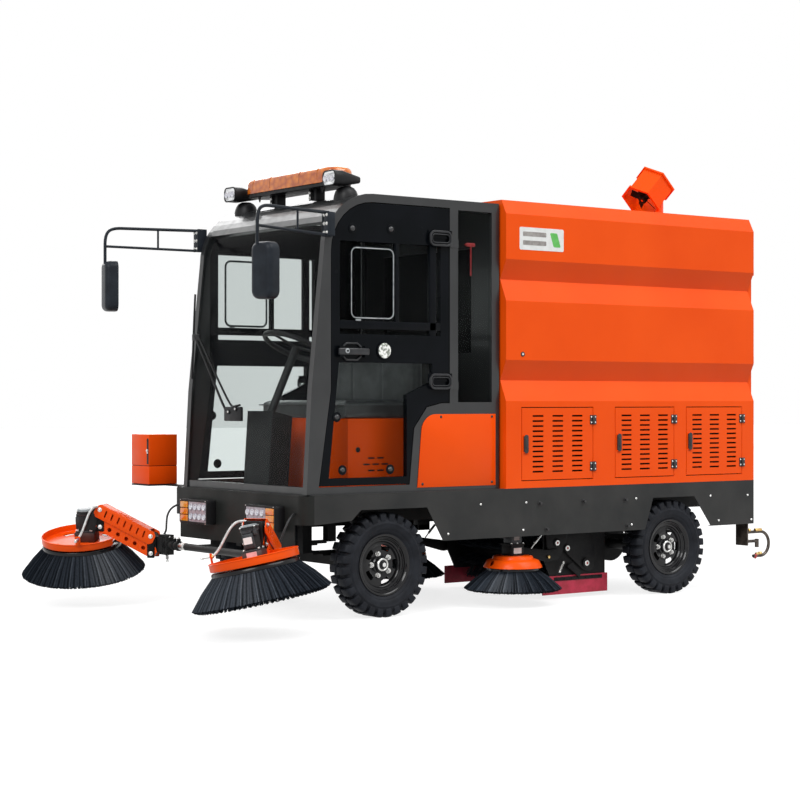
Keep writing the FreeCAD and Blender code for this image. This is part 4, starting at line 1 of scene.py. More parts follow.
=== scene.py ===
# %% [markdown]
# # A compact street sweeper
#
# The solids of this machine come from its CAD source. This notebook gives them
# their finishes and adds what a drawing leaves out: bristles, treads, lamp cells,
# seals, bolts, hoses and a stitched seat. Everything keeps the drawing's frame:
# +X points ahead, +Y to the machine's left, and the ground is at Z = 0.

# %% Load the frame
import bpy, bmesh, math, random
from mathutils import Matrix, Vector


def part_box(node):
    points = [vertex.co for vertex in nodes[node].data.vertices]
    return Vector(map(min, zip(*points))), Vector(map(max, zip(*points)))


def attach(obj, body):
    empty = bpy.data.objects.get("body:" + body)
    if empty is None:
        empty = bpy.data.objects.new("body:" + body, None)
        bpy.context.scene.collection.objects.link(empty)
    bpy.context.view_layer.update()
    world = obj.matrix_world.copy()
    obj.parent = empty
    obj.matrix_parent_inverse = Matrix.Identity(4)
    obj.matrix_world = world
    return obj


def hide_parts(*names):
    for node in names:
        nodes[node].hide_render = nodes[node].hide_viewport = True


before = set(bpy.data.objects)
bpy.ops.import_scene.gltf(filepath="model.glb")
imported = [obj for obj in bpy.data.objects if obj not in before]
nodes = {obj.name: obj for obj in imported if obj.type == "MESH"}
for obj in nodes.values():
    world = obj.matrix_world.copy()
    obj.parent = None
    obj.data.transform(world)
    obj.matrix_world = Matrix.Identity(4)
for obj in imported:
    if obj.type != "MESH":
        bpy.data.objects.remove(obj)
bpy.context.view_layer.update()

# %% [markdown]
# ## The camera
#
# The photograph was taken from the left front, a little over a metre up and with
# a long lens, so upright lines stay upright. The small shift puts the optical
# axis where the picture has it instead of tilting the camera.

# %% Camera
lens = bpy.data.cameras.new("camera")
lens.sensor_width, lens.lens = 36, 84.77
lens.shift_x, lens.shift_y = 0.0067, 0.0036
lens.clip_end = 200
camera = bpy.data.objects.new("camera", lens)
camera.location = (6.8479, 8.9002, 1.1767)
camera.rotation_mode = "QUATERNION"
camera.rotation_quaternion = Vector((-0.5920, -0.8059, -0.0014)).to_track_quat("-Z", "Y")
bpy.context.scene.collection.objects.link(camera)
bpy.context.scene.camera = camera
bpy.context.scene.view_settings.view_transform = "Standard"
print("camera at", [round(x, 2) for x in camera.location])

# %% [markdown]
# ## Floor, sky and lamps
#
# A white studio: the sky lights the machine evenly and shows as plain white to
# the camera and in reflections. The floor is pale, with a little light of its own
# for the camera, so that it melts into the sky and still holds a soft shadow.
# Three broad suns do the modelling. A sun is as strong at both ends of a long
# object, which an area lamp is not.


# %% Sky
def wire(tree, *pairs):
    """Link output sockets to input sockets."""
    for source, target in pairs:
        tree.links.new(source, target)


def seen_directly(tree):
    """1 for rays from the camera, a reflection or through glass, and 0 for light on a surface."""
    path = tree.nodes.new("ShaderNodeLightPath")
    first, second = (tree.nodes.new("ShaderNodeMath") for _ in range(2))
    first.operation = second.operation = "MAXIMUM"
    wire(tree, (path.outputs["Is Camera Ray"], first.inputs[0]), (path.outputs["Is Glossy Ray"], first.inputs[1]))
    wire(tree, (first.outputs[0], second.inputs[0]), (path.outputs["Is Transmission Ray"], second.inputs[1]))
    return second.outputs[0]


SKY_LIGHT = 0.40
sky = bpy.data.worlds.new("sky")
bpy.context.scene.world = sky
sky.use_nodes = True
plain = sky.node_tree.nodes["Background"]
plain.inputs["Color"].default_value = (1, 1, 1, 1)
strength = sky.node_tree.nodes.new("ShaderNodeMapRange")
strength.inputs["To Min"].default_value = SKY_LIGHT
strength.inputs["To Max"].default_value = 1.0
wire(sky.node_tree, (seen_directly(sky.node_tree), strength.inputs["Value"]),
     (strength.outputs[0], plain.inputs["Strength"]))
print("sky light", SKY_LIGHT)

# %% Floor
floor_shape = bmesh.new()
bmesh.ops.create_grid(floor_shape, x_segments=1, y_segments=1, size=60)
floor_mesh = bpy.data.meshes.new("floor")
floor_shape.to_mesh(floor_mesh)
floor_shape.free()
floor = bpy.data.objects.new("floor", floor_mesh)
bpy.context.scene.collection.objects.link(floor)
floor_paint = bpy.data.materials.new("floor_paint")
floor_paint.use_nodes = True
tree = floor_paint.node_tree
matt = tree.nodes["Principled BSDF"]
matt.inputs["Base Color"].default_value = (0.30, 0.30, 0.30, 1)
matt.inputs["Roughness"].default_value = 0.9
matt.inputs["Specular IOR Level"].default_value = 0.1
matt.inputs["Emission Color"].default_value = (1, 1, 1, 1)
glow = tree.nodes.new("ShaderNodeMath")
glow.operation = "MULTIPLY"
glow.inputs[1].default_value = 0.80
wire(tree, (seen_directly(tree), glow.inputs[0]), (glow.outputs[0], matt.inputs["Emission Strength"]))
floor_mesh.materials.append(floor_paint)
print("floor laid")


# %% Lamps
def sun(name, towards, strength, spread):
    """A broad lamp shining from a direction, given as a vector from the object to the lamp."""
    data = bpy.data.lights.new(name, "SUN")
    data.energy, data.angle = strength, math.radians(spread)
    lamp = bpy.data.objects.new(name, data)
    lamp.rotation_mode = "QUATERNION"
    lamp.rotation_quaternion = Vector(towards).to_track_quat("Z", "Y")
    bpy.context.scene.collection.objects.link(lamp)
    return lamp


sun("front_lamp", (0.70, 0.42, 0.58), 1.7, 30)
sun("side_lamp", (-0.32, 0.54, 0.78), 1.9, 40)
sun("far_lamp", (-0.30, -0.85, 0.45), 1.3, 40)
print("three lamps")

# %% [markdown]
# ## Finishes
#
# Every finish is procedural. A new finish starts from a plain colour on the
# shader, and small helpers then add what the eye looks for: an uneven tone, a
# changing sheen, and a fine relief. They read the object's own coordinates, so a
# pattern stays put on a piece that turns.


# %% Finish helpers
def new_finish(name, colour, roughness, metallic=0.0, coat=0.0, specular=0.5):
    """A material with one principled shader, its constants set on the shader's own sockets."""
    finish = bpy.data.materials.new(name)
    finish.use_nodes = True
    shader = finish.node_tree.nodes["Principled BSDF"]
    shader.inputs["Base Color"].default_value = (*colour, 1)
    shader.inputs["Roughness"].default_value = roughness
    shader.inputs["Metallic"].default_value = metallic
    shader.inputs["Coat Weight"].default_value = coat
    shader.inputs["Coat Roughness"].default_value = 0.06
    shader.inputs["Specular IOR Level"].default_value = specular
    return finish


def noise(finish, scale, detail=3.0, stretch=(1, 1, 1)):
    """A noise pattern in the object's coordinates, stretched if asked."""
    tree = finish.node_tree
    place = tree.nodes.new("ShaderNodeTexCoord")
    turn = tree.nodes.new("ShaderNodeMapping")
    turn.inputs["Scale"].default_value = stretch
    pattern = tree.nodes.new("ShaderNodeTexNoise")
    pattern.inputs["Scale"].default_value = scale
    pattern.inputs["Detail"].default_value = detail
    wire(tree, (place.outputs["Object"], turn.inputs["Vector"]), (turn.outputs[0], pattern.inputs["Vector"]))
    return pattern.outputs["Fac"]


def tone(finish, scale, first, second, low=0.35, high=0.65, stretch=(1, 1, 1)):
    """The base colour wanders between two tones."""
    tree = finish.node_tree
    ramp = tree.nodes.new("ShaderNodeValToRGB")
    ramp.color_ramp.elements[0].position, ramp.color_ramp.elements[1].position = low, high
    ramp.color_ramp.elements[0].color = (*first, 1)
    ramp.color_ramp.elements[1].color = (*second, 1)
    wire(tree, (noise(finish, scale, 4, stretch), ramp.inputs[0]))
    wire(tree, (ramp.outputs[0], tree.nodes["Principled BSDF"].inputs["Base Color"]))
    return finish


def sheen_change(finish, scale, low, high):
    """The roughness wanders between two values, as on a surface that has been wiped and handled."""
    tree = finish.node_tree
    spread = tree.nodes.new("ShaderNodeMapRange")
    spread.inputs["From Min"].default_value, spread.inputs["From Max"].default_value = 0.3, 0.7
    spread.inputs["To Min"].default_value, spread.inputs["To Max"].default_value = low, high
    wire(tree, (noise(finish, scale, 5), spread.inputs["Value"]))
    wire(tree, (spread.outputs[0], tree.nodes["Principled BSDF"].inputs["Roughness"]))
    return finish


def relief(finish, scale, strength, depth=0.001):
    """A fine bump from noise."""
    tree = finish.node_tree
    bump = tree.nodes.new("ShaderNodeBump")
    bump.inputs["Strength"].default_value = strength
    bump.inputs["Distance"].default_value = depth
    wire(tree, (noise(finish, scale, 3), bump.inputs["Height"]))
    wire(tree, (bump.outputs[0], tree.nodes["Principled BSDF"].inputs["Normal"]))
    return finish


print("helpers ready")

# %% [markdown]
# ### Paint
#
# The orange is a gloss enamel on sheet steel: strong and even, with a thin coat
# that mirrors the sky on every face that leans up. The blacks differ, and that is
# much of the machine's look: satin powder coat on the frames, a rougher grey-black
# on the skirts, gloss on the wheels and doors.

# %% Paints
orange = new_finish("orange_enamel", (0.88, 0.082, 0.002), 0.36, coat=0.1, specular=0.1)
tone(orange, 2.2, (0.85, 0.076, 0.001), (0.91, 0.090, 0.003), 0.3, 0.7)
sheen_change(orange, 9, 0.30, 0.44)
relief(orange, 260, 0.05, 0.0006)

frame_black = new_finish("satin_black_frame", (0.014, 0.015, 0.016), 0.30, coat=0.25, specular=0.4)
tone(frame_black, 6, (0.011, 0.012, 0.013), (0.018, 0.019, 0.020))
sheen_change(frame_black, 14, 0.28, 0.42)
relief(frame_black, 420, 0.06, 0.0005)

skirt_black = new_finish("grey_black_sheet", (0.030, 0.031, 0.030), 0.46, specular=0.15)
tone(skirt_black, 3.5, (0.024, 0.025, 0.025), (0.038, 0.038, 0.037))
sheen_change(skirt_black, 8, 0.42, 0.60)
relief(skirt_black, 500, 0.05, 0.0004)

apron_black = new_finish("apron_black", (0.014, 0.015, 0.014), 0.42, specular=0.12)
tone(apron_black, 3.5, (0.011, 0.012, 0.011), (0.018, 0.019, 0.018))
sheen_change(apron_black, 8, 0.36, 0.52)

door_black = new_finish("gloss_black_door", (0.003, 0.004, 0.006), 0.2, specular=0.07)
tone(door_black, 5, (0.002, 0.003, 0.004), (0.004, 0.005, 0.007))
sheen_change(door_black, 11, 0.16, 0.28)

under_black = new_finish("chassis_black", (0.010, 0.010, 0.011), 0.55, specular=0.15)
tone(under_black, 12, (0.007, 0.007, 0.008), (0.016, 0.016, 0.016))
relief(under_black, 240, 0.15, 0.0008)

wheel_black = new_finish("gloss_black_wheel", (0.005, 0.005, 0.006), 0.16, coat=0.25, specular=0.2)
sheen_change(wheel_black, 18, 0.12, 0.26)

box_black = new_finish("moulded_black", (0.010, 0.010, 0.011), 0.42, specular=0.2)
sheen_change(box_black, 30, 0.38, 0.55)
relief(box_black, 900, 0.18, 0.0004)
print("eight paints")

# %% [markdown]
# ### Rubber, bristles, cloth and metal
#
# Rubber and bristles are dark, never black: they scatter a bluish grey. Bare
# metal is zinc plate on bolts and pins, and brass on the water fittings.

# %% Soft and metal finishes
tyre_rubber = new_finish("tyre_rubber", (0.011, 0.012, 0.016), 0.60, specular=0.14)
tone(tyre_rubber, 16, (0.008, 0.009, 0.012), (0.016, 0.018, 0.023))
relief(tyre_rubber, 300, 0.2, 0.0008)

seal_rubber = new_finish("seal_rubber", (0.010, 0.010, 0.011), 0.55)
relief(seal_rubber, 600, 0.15, 0.0004)

bristle = new_finish("brush_bristle", (0.020, 0.026, 0.035), 0.42, specular=0.2)
tone(bristle, 90, (0.016, 0.021, 0.029), (0.024, 0.031, 0.042))
bristle_deep = new_finish("deep_bristle", (0.007, 0.010, 0.014), 0.5, specular=0.12)
tone(bristle_deep, 90, (0.005, 0.007, 0.010), (0.010, 0.013, 0.018))
bristle_pale = new_finish("pale_bristle", (0.045, 0.055, 0.070), 0.38, specular=0.25)
tone(bristle_pale, 90, (0.036, 0.045, 0.058), (0.056, 0.067, 0.084))

flap_red = new_finish("red_rubber", (0.50, 0.020, 0.055), 0.5)
tone(flap_red, 20, (0.40, 0.015, 0.040), (0.56, 0.028, 0.072))
relief(flap_red, 350, 0.12, 0.0006)

zinc = new_finish("zinc_plate", (0.62, 0.62, 0.60), 0.32, metallic=1.0)
tone(zinc, 45, (0.50, 0.50, 0.48), (0.70, 0.70, 0.69))
sheen_change(zinc, 70, 0.24, 0.44)

dark_pipe = new_finish("dark_pipe", (0.060, 0.048, 0.040), 0.30, metallic=0.7)
tone(dark_pipe, 30, (0.035, 0.028, 0.024), (0.11, 0.090, 0.075))

brass = new_finish("brass_fitting", (0.62, 0.42, 0.16), 0.34, metallic=1.0)
tone(brass, 60, (0.50, 0.32, 0.11), (0.70, 0.50, 0.22))
sheen_change(brass, 80, 0.26, 0.46)

dark_plastic = new_finish("console_plastic", (0.010, 0.010, 0.011), 0.5, specular=0.25)
tone(dark_plastic, 20, (0.008, 0.008, 0.009), (0.014, 0.014, 0.015))
relief(dark_plastic, 700, 0.3, 0.0005)

seat_cloth = new_finish("seat_leatherette", (0.045, 0.048, 0.050), 0.36)
tone(seat_cloth, 12, (0.032, 0.035, 0.037), (0.062, 0.066, 0.068))
sheen_change(seat_cloth, 25, 0.34, 0.54)
relief(seat_cloth, 420, 0.35, 0.0008)

motor_grey = new_finish("motor_grey", (0.026, 0.029, 0.032), 0.40, specular=0.3)
tone(motor_grey, 30, (0.020, 0.023, 0.026), (0.034, 0.037, 0.041))
relief(motor_grey, 500, 0.15, 0.0005)

gear_brown = new_finish("gearcase_paint", (0.035, 0.014, 0.012), 0.45)
tone(gear_brown, 25, (0.024, 0.010, 0.009), (0.050, 0.021, 0.017))

label_white = new_finish("plain_label", (0.78, 0.80, 0.78), 0.35)
tone(label_white, 30, (0.74, 0.76, 0.74), (0.82, 0.83, 0.82))

label_green = new_finish("green_film", (0.12, 0.50, 0.10), 0.35)
tone(label_green, 30, (0.10, 0.46, 0.08), (0.14, 0.54, 0.12))

signal_red = new_finish("signal_red", (0.45, 0.012, 0.016), 0.35)
tone(signal_red, 40, (0.38, 0.010, 0.012), (0.52, 0.016, 0.020))

hose_clear = new_finish("water_hose", (0.60, 0.60, 0.59), 0.25)
tone(hose_clear, 60, (0.48, 0.48, 0.47), (0.72, 0.72, 0.71))
print("soft and metal finishes")

# %% [markdown]
# ### Glass and lenses
#
# Window glass is thin: what lies behind it is seen unbent, a touch darker, under
# a mirror layer that grows at grazing angles. A transparent shader mixed with a
# glossy one by the facing angle does that cheaply and lets the sun reach the seat.
# The amber lens is solid plastic with its ribs as relief.


# %% Glass
def pane_finish(name, tint, mirror):
    """Thin glass: see-through with a tint, under a mirror that grows towards grazing angles."""
    finish = new_finish(name, (0.01, 0.01, 0.012), 0.03)
    tree = finish.node_tree
    through = tree.nodes.new("ShaderNodeBsdfTransparent")
    through.inputs[0].default_value = (*tint, 1)
    edge = tree.nodes.new("ShaderNodeLayerWeight")
    steep = tree.nodes.new("ShaderNodeMath")
    steep.operation, steep.inputs[1].default_value = "POWER", 4.0
    share = tree.nodes.new("ShaderNodeMapRange")
    share.inputs["To Min"].default_value, share.inputs["To Max"].default_value = mirror, 0.8
    blend = tree.nodes.new("ShaderNodeMixShader")
    wire(tree, (edge.outputs["Facing"], steep.inputs[0]), (steep.outputs[0], share.inputs["Value"]))
    wire(tree, (share.outputs[0], blend.inputs[0]))
    wire(tree, (through.outputs[0], blend.inputs[1]), (tree.nodes["Principled BSDF"].outputs[0], blend.inputs[2]))
    wire(tree, (blend.outputs[0], tree.nodes["Material Output"].inputs["Surface"]))
    return finish


def lens_finish(name, colour, dark, scale, stretch):
    """Moulded lens plastic: tone and relief from a ribbed cell pattern."""
    finish = new_finish(name, colour, 0.12, coat=0.4)
    tree = finish.node_tree
    place, turn = tree.nodes.new("ShaderNodeTexCoord"), tree.nodes.new("ShaderNodeMapping")
    turn.inputs["Scale"].default_value = stretch
    cells = tree.nodes.new("ShaderNodeTexVoronoi")
    cells.inputs["Scale"].default_value = scale
    ramp = tree.nodes.new("ShaderNodeValToRGB")
    ramp.color_ramp.elements[0].color = (*colour, 1)
    ramp.color_ramp.elements[1].color = (*dark, 1)
    ramp.color_ramp.elements[0].position, ramp.color_ramp.elements[1].position = 0.15, 0.8
    bump = tree.nodes.new("ShaderNodeBump")
    bump.inputs["Strength"].default_value, bump.inputs["Distance"].default_value = 0.5, 0.002
    wire(tree, (place.outputs["Object"], turn.inputs[0]), (turn.outputs[0], cells.inputs["Vector"]))
    wire(tree, (cells.outputs["Distance"], ramp.inputs[0]), (cells.outputs["Distance"], bump.inputs["Height"]))
    shader = tree.nodes["Principled BSDF"]
    wire(tree, (ramp.outputs[0], shader.inputs["Base Color"]), (bump.outputs[0], shader.inputs["Normal"]))
    return finish


window_glass = pane_finish("window_glass", (0.90, 0.92, 0.915), 0.03)
amber_lens = lens_finish("amber_lens", (0.80, 0.21, 0.006), (0.46, 0.080, 0.002), 22, (1, 1, 1.3))
mirror_silver = new_finish("mirror_silver", (0.85, 0.86, 0.87), 0.03, metallic=1.0)
sheen_change(mirror_silver, 20, 0.02, 0.06)
print("glass and lenses")

# %% [markdown]
# ### Finishes on the drawing's own solids
#
# A solid whose shape is right keeps it and only gets its finish. Nodes that come
# in a left and a right version share one.

# %% Dress the solids
node_finish = {
    "chassis_frame": skirt_black, "axles": under_black, "side_skirts": skirt_black, "front_panel": apron_black,
    "cab_frame": frame_black, "cab_roof": frame_black, "cab_glass": window_glass, "cab_side_panels": orange,
    "cab_interior": dark_plastic, "seat_box": orange, "seat": seat_cloth, "body_shell": orange,
    "battery_pack": box_black, "mirrors": box_black, "lamps": box_black, "utility_box": orange,
    "exhaust_cowl": orange, "cowl_fan": under_black, "mid_brush_heads": orange, "roller_chamber": under_black,
    "roller_brush": bristle, "side_flaps": flap_red, "rear_pipes": dark_pipe, "knuckle": under_black,
    "cab_door": door_black, "door_glass": window_glass, "rear_door": orange, "swing_bracket": under_black,
    "upper_link": orange, "lower_link": orange, "brush_head": under_black, "brush_dish": orange,
    "side_brush": bristle, "mid_brush": bristle, "tyre_front": tyre_rubber, "tyre_rear": tyre_rubber,
    "rim_front": wheel_black, "rim_rear": wheel_black, "vent_door_front": orange, "vent_door_middle": orange,
    "vent_door_rear": orange,
}
for name, solid in nodes.items():
    plain_name = name.replace("_left", "").replace("_right", "")
    solid.data.materials.clear()
    solid.data.materials.append(node_finish[plain_name])
print("dressed", len(nodes), "solids")

# %% [markdown]
# ## Helpers for shapes
#
# Sizes are typed in millimetres, as on the drawing, and scaled to metres when a
# mesh is made. Each helper returns a small bmesh, and `add` merges it into a
# larger one at a place. Left-hand pieces are modelled once; `other_side` mirrors
# one and turns its faces outwards again.

# %% Shapes
SHARP = math.radians(34)


def block(low, high, soften=0.0, steps=2):
    """A box between two corners, its edges softened."""
    shape = bmesh.new()
    bmesh.ops.create_cube(shape, size=1)
    low, high = Vector(low), Vector(high)
    bmesh.ops.scale(shape, vec=high - low, verts=shape.verts)
    bmesh.ops.translate(shape, vec=(low + high) / 2, verts=shape.verts)
    return softened(shape, soften, steps)


def softened(shape, soften, steps=2):
    """Bevels every edge that turns sharply."""
    if soften:
        sharp = [e for e in shape.edges if len(e.link_faces) == 2 and e.calc_face_angle() > SHARP]
        bmesh.ops.bevel(shape, geom=sharp, offset=soften, segments=steps, profile=0.5, affect="EDGES", material=-1,
                        clamp_overlap=True)
    return shape


def drum(radius, depth, sides=32, top=None, soften=0.0):
    """A round bar along Z from 0 to its depth, tapered if a top radius is given."""
    shape = bmesh.new()
    bmesh.ops.create_cone(shape, cap_ends=True, segments=sides, radius1=radius, radius2=radius if top is None else top,
                          depth=depth)
    bmesh.ops.translate(shape, vec=(0, 0, depth / 2), verts=shape.verts)
    return softened(shape, soften)


def turned(profile, steps=64, closed=False):
    """Points of (radius, height) spun about Z."""
    shape = bmesh.new()
    ring = [shape.verts.new((r, 0, h)) for r, h in profile]
    pairs = list(zip(ring, ring[1:])) + ([(ring[-1], ring[0])] if closed else [])
    edges = [shape.edges.new(pair) for pair in pairs]
    bmesh.ops.spin(shape, geom=ring + edges, cent=(0, 0, 0), axis=(0, 0, 1), dvec=(0, 0, 0), angle=2 * math.pi,
                   steps=steps, use_merge=True, use_duplicate=False)
    bmesh.ops.remove_doubles(shape, verts=shape.verts, dist=0.001)
    bmesh.ops.recalc_face_normals(shape, faces=shape.faces)
    return shape


def swept(section, angle, steps):
    """A closed section of (radius, height) points carried about Z through an angle in radians."""
    shape = bmesh.new()
    face = shape.faces.new([shape.verts.new((r, 0, h)) for r, h in section])
    bmesh.ops.spin(shape, geom=[face, *shape.verts, *shape.edges], cent=(0, 0, 0), axis=(0, 0, 1), dvec=(0, 0, 0),
                   angle=angle, steps=steps, use_merge=False, use_duplicate=False)
    bmesh.ops.remove_doubles(shape, verts=shape.verts, dist=0.001)
    bmesh.ops.recalc_face_normals(shape, faces=shape.faces)
    return shape


def flat(outline, corner, corner_steps):
    """A flat face from an outline of (x, y) points, its corners rounded."""
    shape = bmesh.new()
    shape.faces.new([shape.verts.new((x, y, 0)) for x, y in outline])
    if corner:
        bmesh.ops.bevel(shape, geom=list(shape.verts), offset=corner, segments=corner_steps, profile=0.5,
                        affect="VERTICES", material=-1, clamp_overlap=True)
    return shape


def raised(shape, depth, soften):
    """Flat faces lifted along Z by a depth into a solid, its edges softened."""
    grown = bmesh.ops.extrude_face_region(shape, geom=list(shape.faces))["geom"]
    bmesh.ops.translate(shape, vec=(0, 0, depth), verts=[g for g in grown if isinstance(g, bmesh.types.BMVert)])
    bmesh.ops.recalc_face_normals(shape, faces=shape.faces)
    return softened(shape, soften)


def slab(outline, depth, corner=0.0, soften=0.0, corner_steps=5):
    """A flat outline of (x, y) points with rounded corners, raised along Z by its depth."""
    return raised(flat(outline, corner, corner_steps), depth, soften)


def frame_bar(outline, width, depth, corner=0.0, soften=0.0):
    """A flat frame: an outline with rounded corners, open inside by a width."""
    shape = flat(outline, corner, 6)
    face = shape.faces[:][0]
    bmesh.ops.inset_region(shape, faces=[face], thickness=width, use_even_offset=True, use_boundary=True)
    bmesh.ops.delete(shape, geom=[face], context="FACES_ONLY")
    return raised(shape, depth, soften)


def box_outline(x0, x1, y0, y1):
    """The four corners of an upright rectangle."""
    return [(x0, y0), (x1, y0), (x1, y1), (x0, y1)]


print("shape helpers ready")


# %% Places
def at(x, y, z):
    """A move."""
    return Matrix.Translation((x, y, z))


def turn(angle, axis="Z"):
    """A turn in degrees about an axis through the origin."""
    return Matrix.Rotation(math.radians(angle), 4, axis if isinstance(axis, str) else Vector(axis))


ON_SIDE = turn(90, "X")  # for a shape drawn as (x, z), its depth towards -Y
ON_FRONT = Matrix(((0, 0, 1, 0), (1, 0, 0, 0), (0, 1, 0, 0), (0, 0, 0, 1)))  # drawn as (y, z), its depth ahead
ALONG_Y = turn(-90, "X")
ALONG_X = turn(90, "Y")


def add(whole, part, move=None, finish=0):
    """Merges a shape into a whole, moved by a matrix and given a finish number."""
    if move is not None:
        part.transform(move)
    for face in part.faces:
        face.material_index = finish or face.material_index
    carrier = bpy.data.meshes.new("carrier")
    part.to_mesh(carrier)
    part.free()
    whole.from_mesh(carrier)
    bpy.data.meshes.remove(carrier)
    return whole


def other_side(shape):
    """The mirror image of a shape for the right-hand side, its faces turned outwards."""
    twin = shape.copy()
    bmesh.ops.transform(twin, matrix=Matrix.Scale(-1, 4, (0, 1, 0)), verts=twin.verts)
    bmesh.ops.reverse_faces(twin, faces=twin.faces)
    return twin


def both_sides(shape):
    """A left-hand shape with its right-hand twin."""
    return add(shape, other_side(shape))


def piece(name, shape, body, finishes, replaces=()):
    """Makes an object from a shape: scaled to metres, shaded, and tied to its body and finish slot."""
    bmesh.ops.scale(shape, vec=(0.001, 0.001, 0.001), verts=shape.verts)
    for face in shape.faces:
        face.smooth = True
    for edge in shape.edges:
        edge.smooth = len(edge.link_faces) != 2 or edge.calc_face_angle() < SHARP
    mesh = bpy.data.meshes.new(name)
    shape.to_mesh(mesh)
    shape.free()
    made = bpy.data.objects.new(name, mesh)
    bpy.context.scene.collection.objects.link(made)
    for finish in finishes if isinstance(finishes, (list, tuple)) else [finishes]:
        mesh.materials.append(finish)
    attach(made, body)
    if replaces:
        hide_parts(*replaces)
    print(name, len(mesh.polygons), "faces")
    return made


SIDES = {"left": 1, "right": -1}


def pair(name, shape, body, slot, finishes, replaces=()):
    """A left-hand shape and its right-hand twin, each on its own body."""
    twin = other_side(shape)
    for word, one in (("left", shape), ("right", twin)):
        piece(name + "_" + word, one, body + "_" + word, finishes, [node + "_" + word for node in replaces])


print("place helpers ready")


# %% [markdown]
# Tubes, rods and springs are round bars along a line. A curve object with a round
# bevel draws one through a few points, and its mesh is taken over as a shape,
# because bmesh has no such operator. A spring is the same bar along a helix.

# %% Round bars
def pipe(points, radius, sides=3):
    """A round bar along a smooth line through a few points, as a shape."""
    line = bpy.data.curves.new("pipe", "CURVE")
    line.dimensions = "3D"
    spline = line.splines.new("NURBS")
    spline.points.add(len(points) - 1)
    for point, place in zip(spline.points, points):
        point.co = (*place, 1)
    spline.order_u, spline.use_endpoint_u, spline.resolution_u = 3, True, 8
    line.bevel_depth, line.bevel_resolution, line.use_fill_caps = radius, sides, True
    holder = bpy.data.objects.new("pipe", line)
    bpy.context.scene.collection.objects.link(holder)
    bpy.context.view_layer.update()
    mesh = bpy.data.meshes.new_from_object(holder.evaluated_get(bpy.context.evaluated_depsgraph_get()))
    shape = bmesh.new()
    shape.from_mesh(mesh)
    bpy.data.objects.remove(holder)
    bpy.data.curves.remove(line)
    bpy.data.meshes.remove(mesh)
    bmesh.ops.remove_doubles(shape, verts=shape.verts, dist=0.001)
    bmesh.ops.recalc_face_normals(shape, faces=shape.faces)
    return shape


def spring(start, end, radius, wire_radius, turns):
    """A coil spring between two points."""
    axis = Vector(end) - Vector(start)
    steps = turns * 8
    line = [(radius * math.cos(i * math.pi / 4), radius * math.sin(i * math.pi / 4), axis.length * i / steps)
            for i in range(steps + 1)]
    shape = pipe(line, wire_radius, 1)
    shape.transform(at(*start) @ axis.to_track_quat("Z", "Y").to_matrix().to_4x4())
    return shape


print("bar helpers ready")

# %% [markdown]
# ## Wheels
#
# Each tyre is a carcass with bulging walls and two staggered rows of chunky
# shoulder lugs. The carcass is a section spun about the axle. One lug is a
# section too, spun through a few degrees and bevelled, and then copied round.

# %% Tyres
TYRE_LUGS, LUG_SHARE = 28, 0.64  # how many lugs, and the share of its pitch that one fills
AXLE_Z = 285


def carcass():
    """The tyre without its lugs, about the Z axis, its outer side up."""
    half = [(154, 47.7), (160, 48.2), (168.5, 48.3), (174, 51), (178, 55), (186, 60.5), (190, 60.7), (192, 63),
            (206, 67.5), (222, 69.5), (226, 71), (230, 69.5), (240, 67), (252, 62), (262, 52), (266, 40), (267, 20),
            (267, 4), (263, 3)]
    section = half + [(263, 0)] + [(r, -h) for r, h in reversed(half)]
    return turned(section, 112, closed=True)


def lug():
    """One lug: a section swept a short way round the tyre."""
    section = [(255, 4), (284, 4.5), (285, 8), (285, 54), (281, 64), (274, 69), (262, 70), (246, 69.5), (236, 68),
               (240, 60)]
    return softened(swept(section, 2 * math.pi / TYRE_LUGS * LUG_SHARE, 2), 2.2)


def tyre():
    """A whole tyre about the Y axis at the origin, its outer side towards +Y."""
    whole = carcass()
    one = lug()
    step = 360 / TYRE_LUGS
    for i in range(TYRE_LUGS):
        add(whole, one.copy(), turn(i * step))
        add(whole, one.copy(), turn((i + 0.5) * step) @ turn(180, "X"))
    one.free()
    whole.transform(ALONG_Y)
    return whole


WHEEL_PLACES = {"front": 854, "rear": -1289}
WHEEL_Y = 596
for place, x in WHEEL_PLACES.items():
    left = add(bmesh.new(), tyre(), at(x, WHEEL_Y, AXLE_Z))
    pair("tread_tyre_" + place, left, "wheel_" + place, "tyre_rubber", tyre_rubber, ["tyre_" + place])

# %% [markdown]
# The rims are pressed steel, and their look comes from stepped rings that each
# catch a line of light. They are one spun section with a dished disc. The curved
# slots between the nuts are cut by a boolean against short swept cutters.


# %% Rims
def rim_section():
    """The pressed rim and its disc in section, as (radius, offset) points from the outer lip inwards and round."""
    outer = [(167.4, 48.4), (167.4, 53.6), (163, 54.4), (158, 52.5), (152.5, 46), (150, 42), (146, 41), (143, 34),
             (140, 33), (136, 26), (128, 24), (124, 14), (120, 11), (114, 12), (104, 18), (92, 20), (78, 18), (66, 14),
             (44, 13)]
    inner = [(44, 6), (66, 7), (78, 11), (92, 13), (104, 11), (114, 5), (122, 4), (128, -2), (146, -6), (147.4, -48.4),
             (167.4, -48.4), (167.4, -53.4), (152.4, -53.4), (152.4, 36), (152.4, 40), (156, 47)]
    return outer + inner


def kidney(inner, outer, sweep, low=-60, high=60, steps=10):
    """A curved bar about the Z axis, to cut a slot that follows a circle."""
    shape = swept([(inner, low), (outer, low), (outer, high), (inner, high)], math.radians(sweep), steps)
    upright = [e for e in shape.edges if abs(e.verts[0].co.z - e.verts[1].co.z) > 50 and e.calc_face_angle() > SHARP]
    bmesh.ops.bevel(shape, geom=upright, offset=9, segments=4, profile=0.5, affect="EDGES", material=-1,
                    clamp_overlap=True)
    return shape


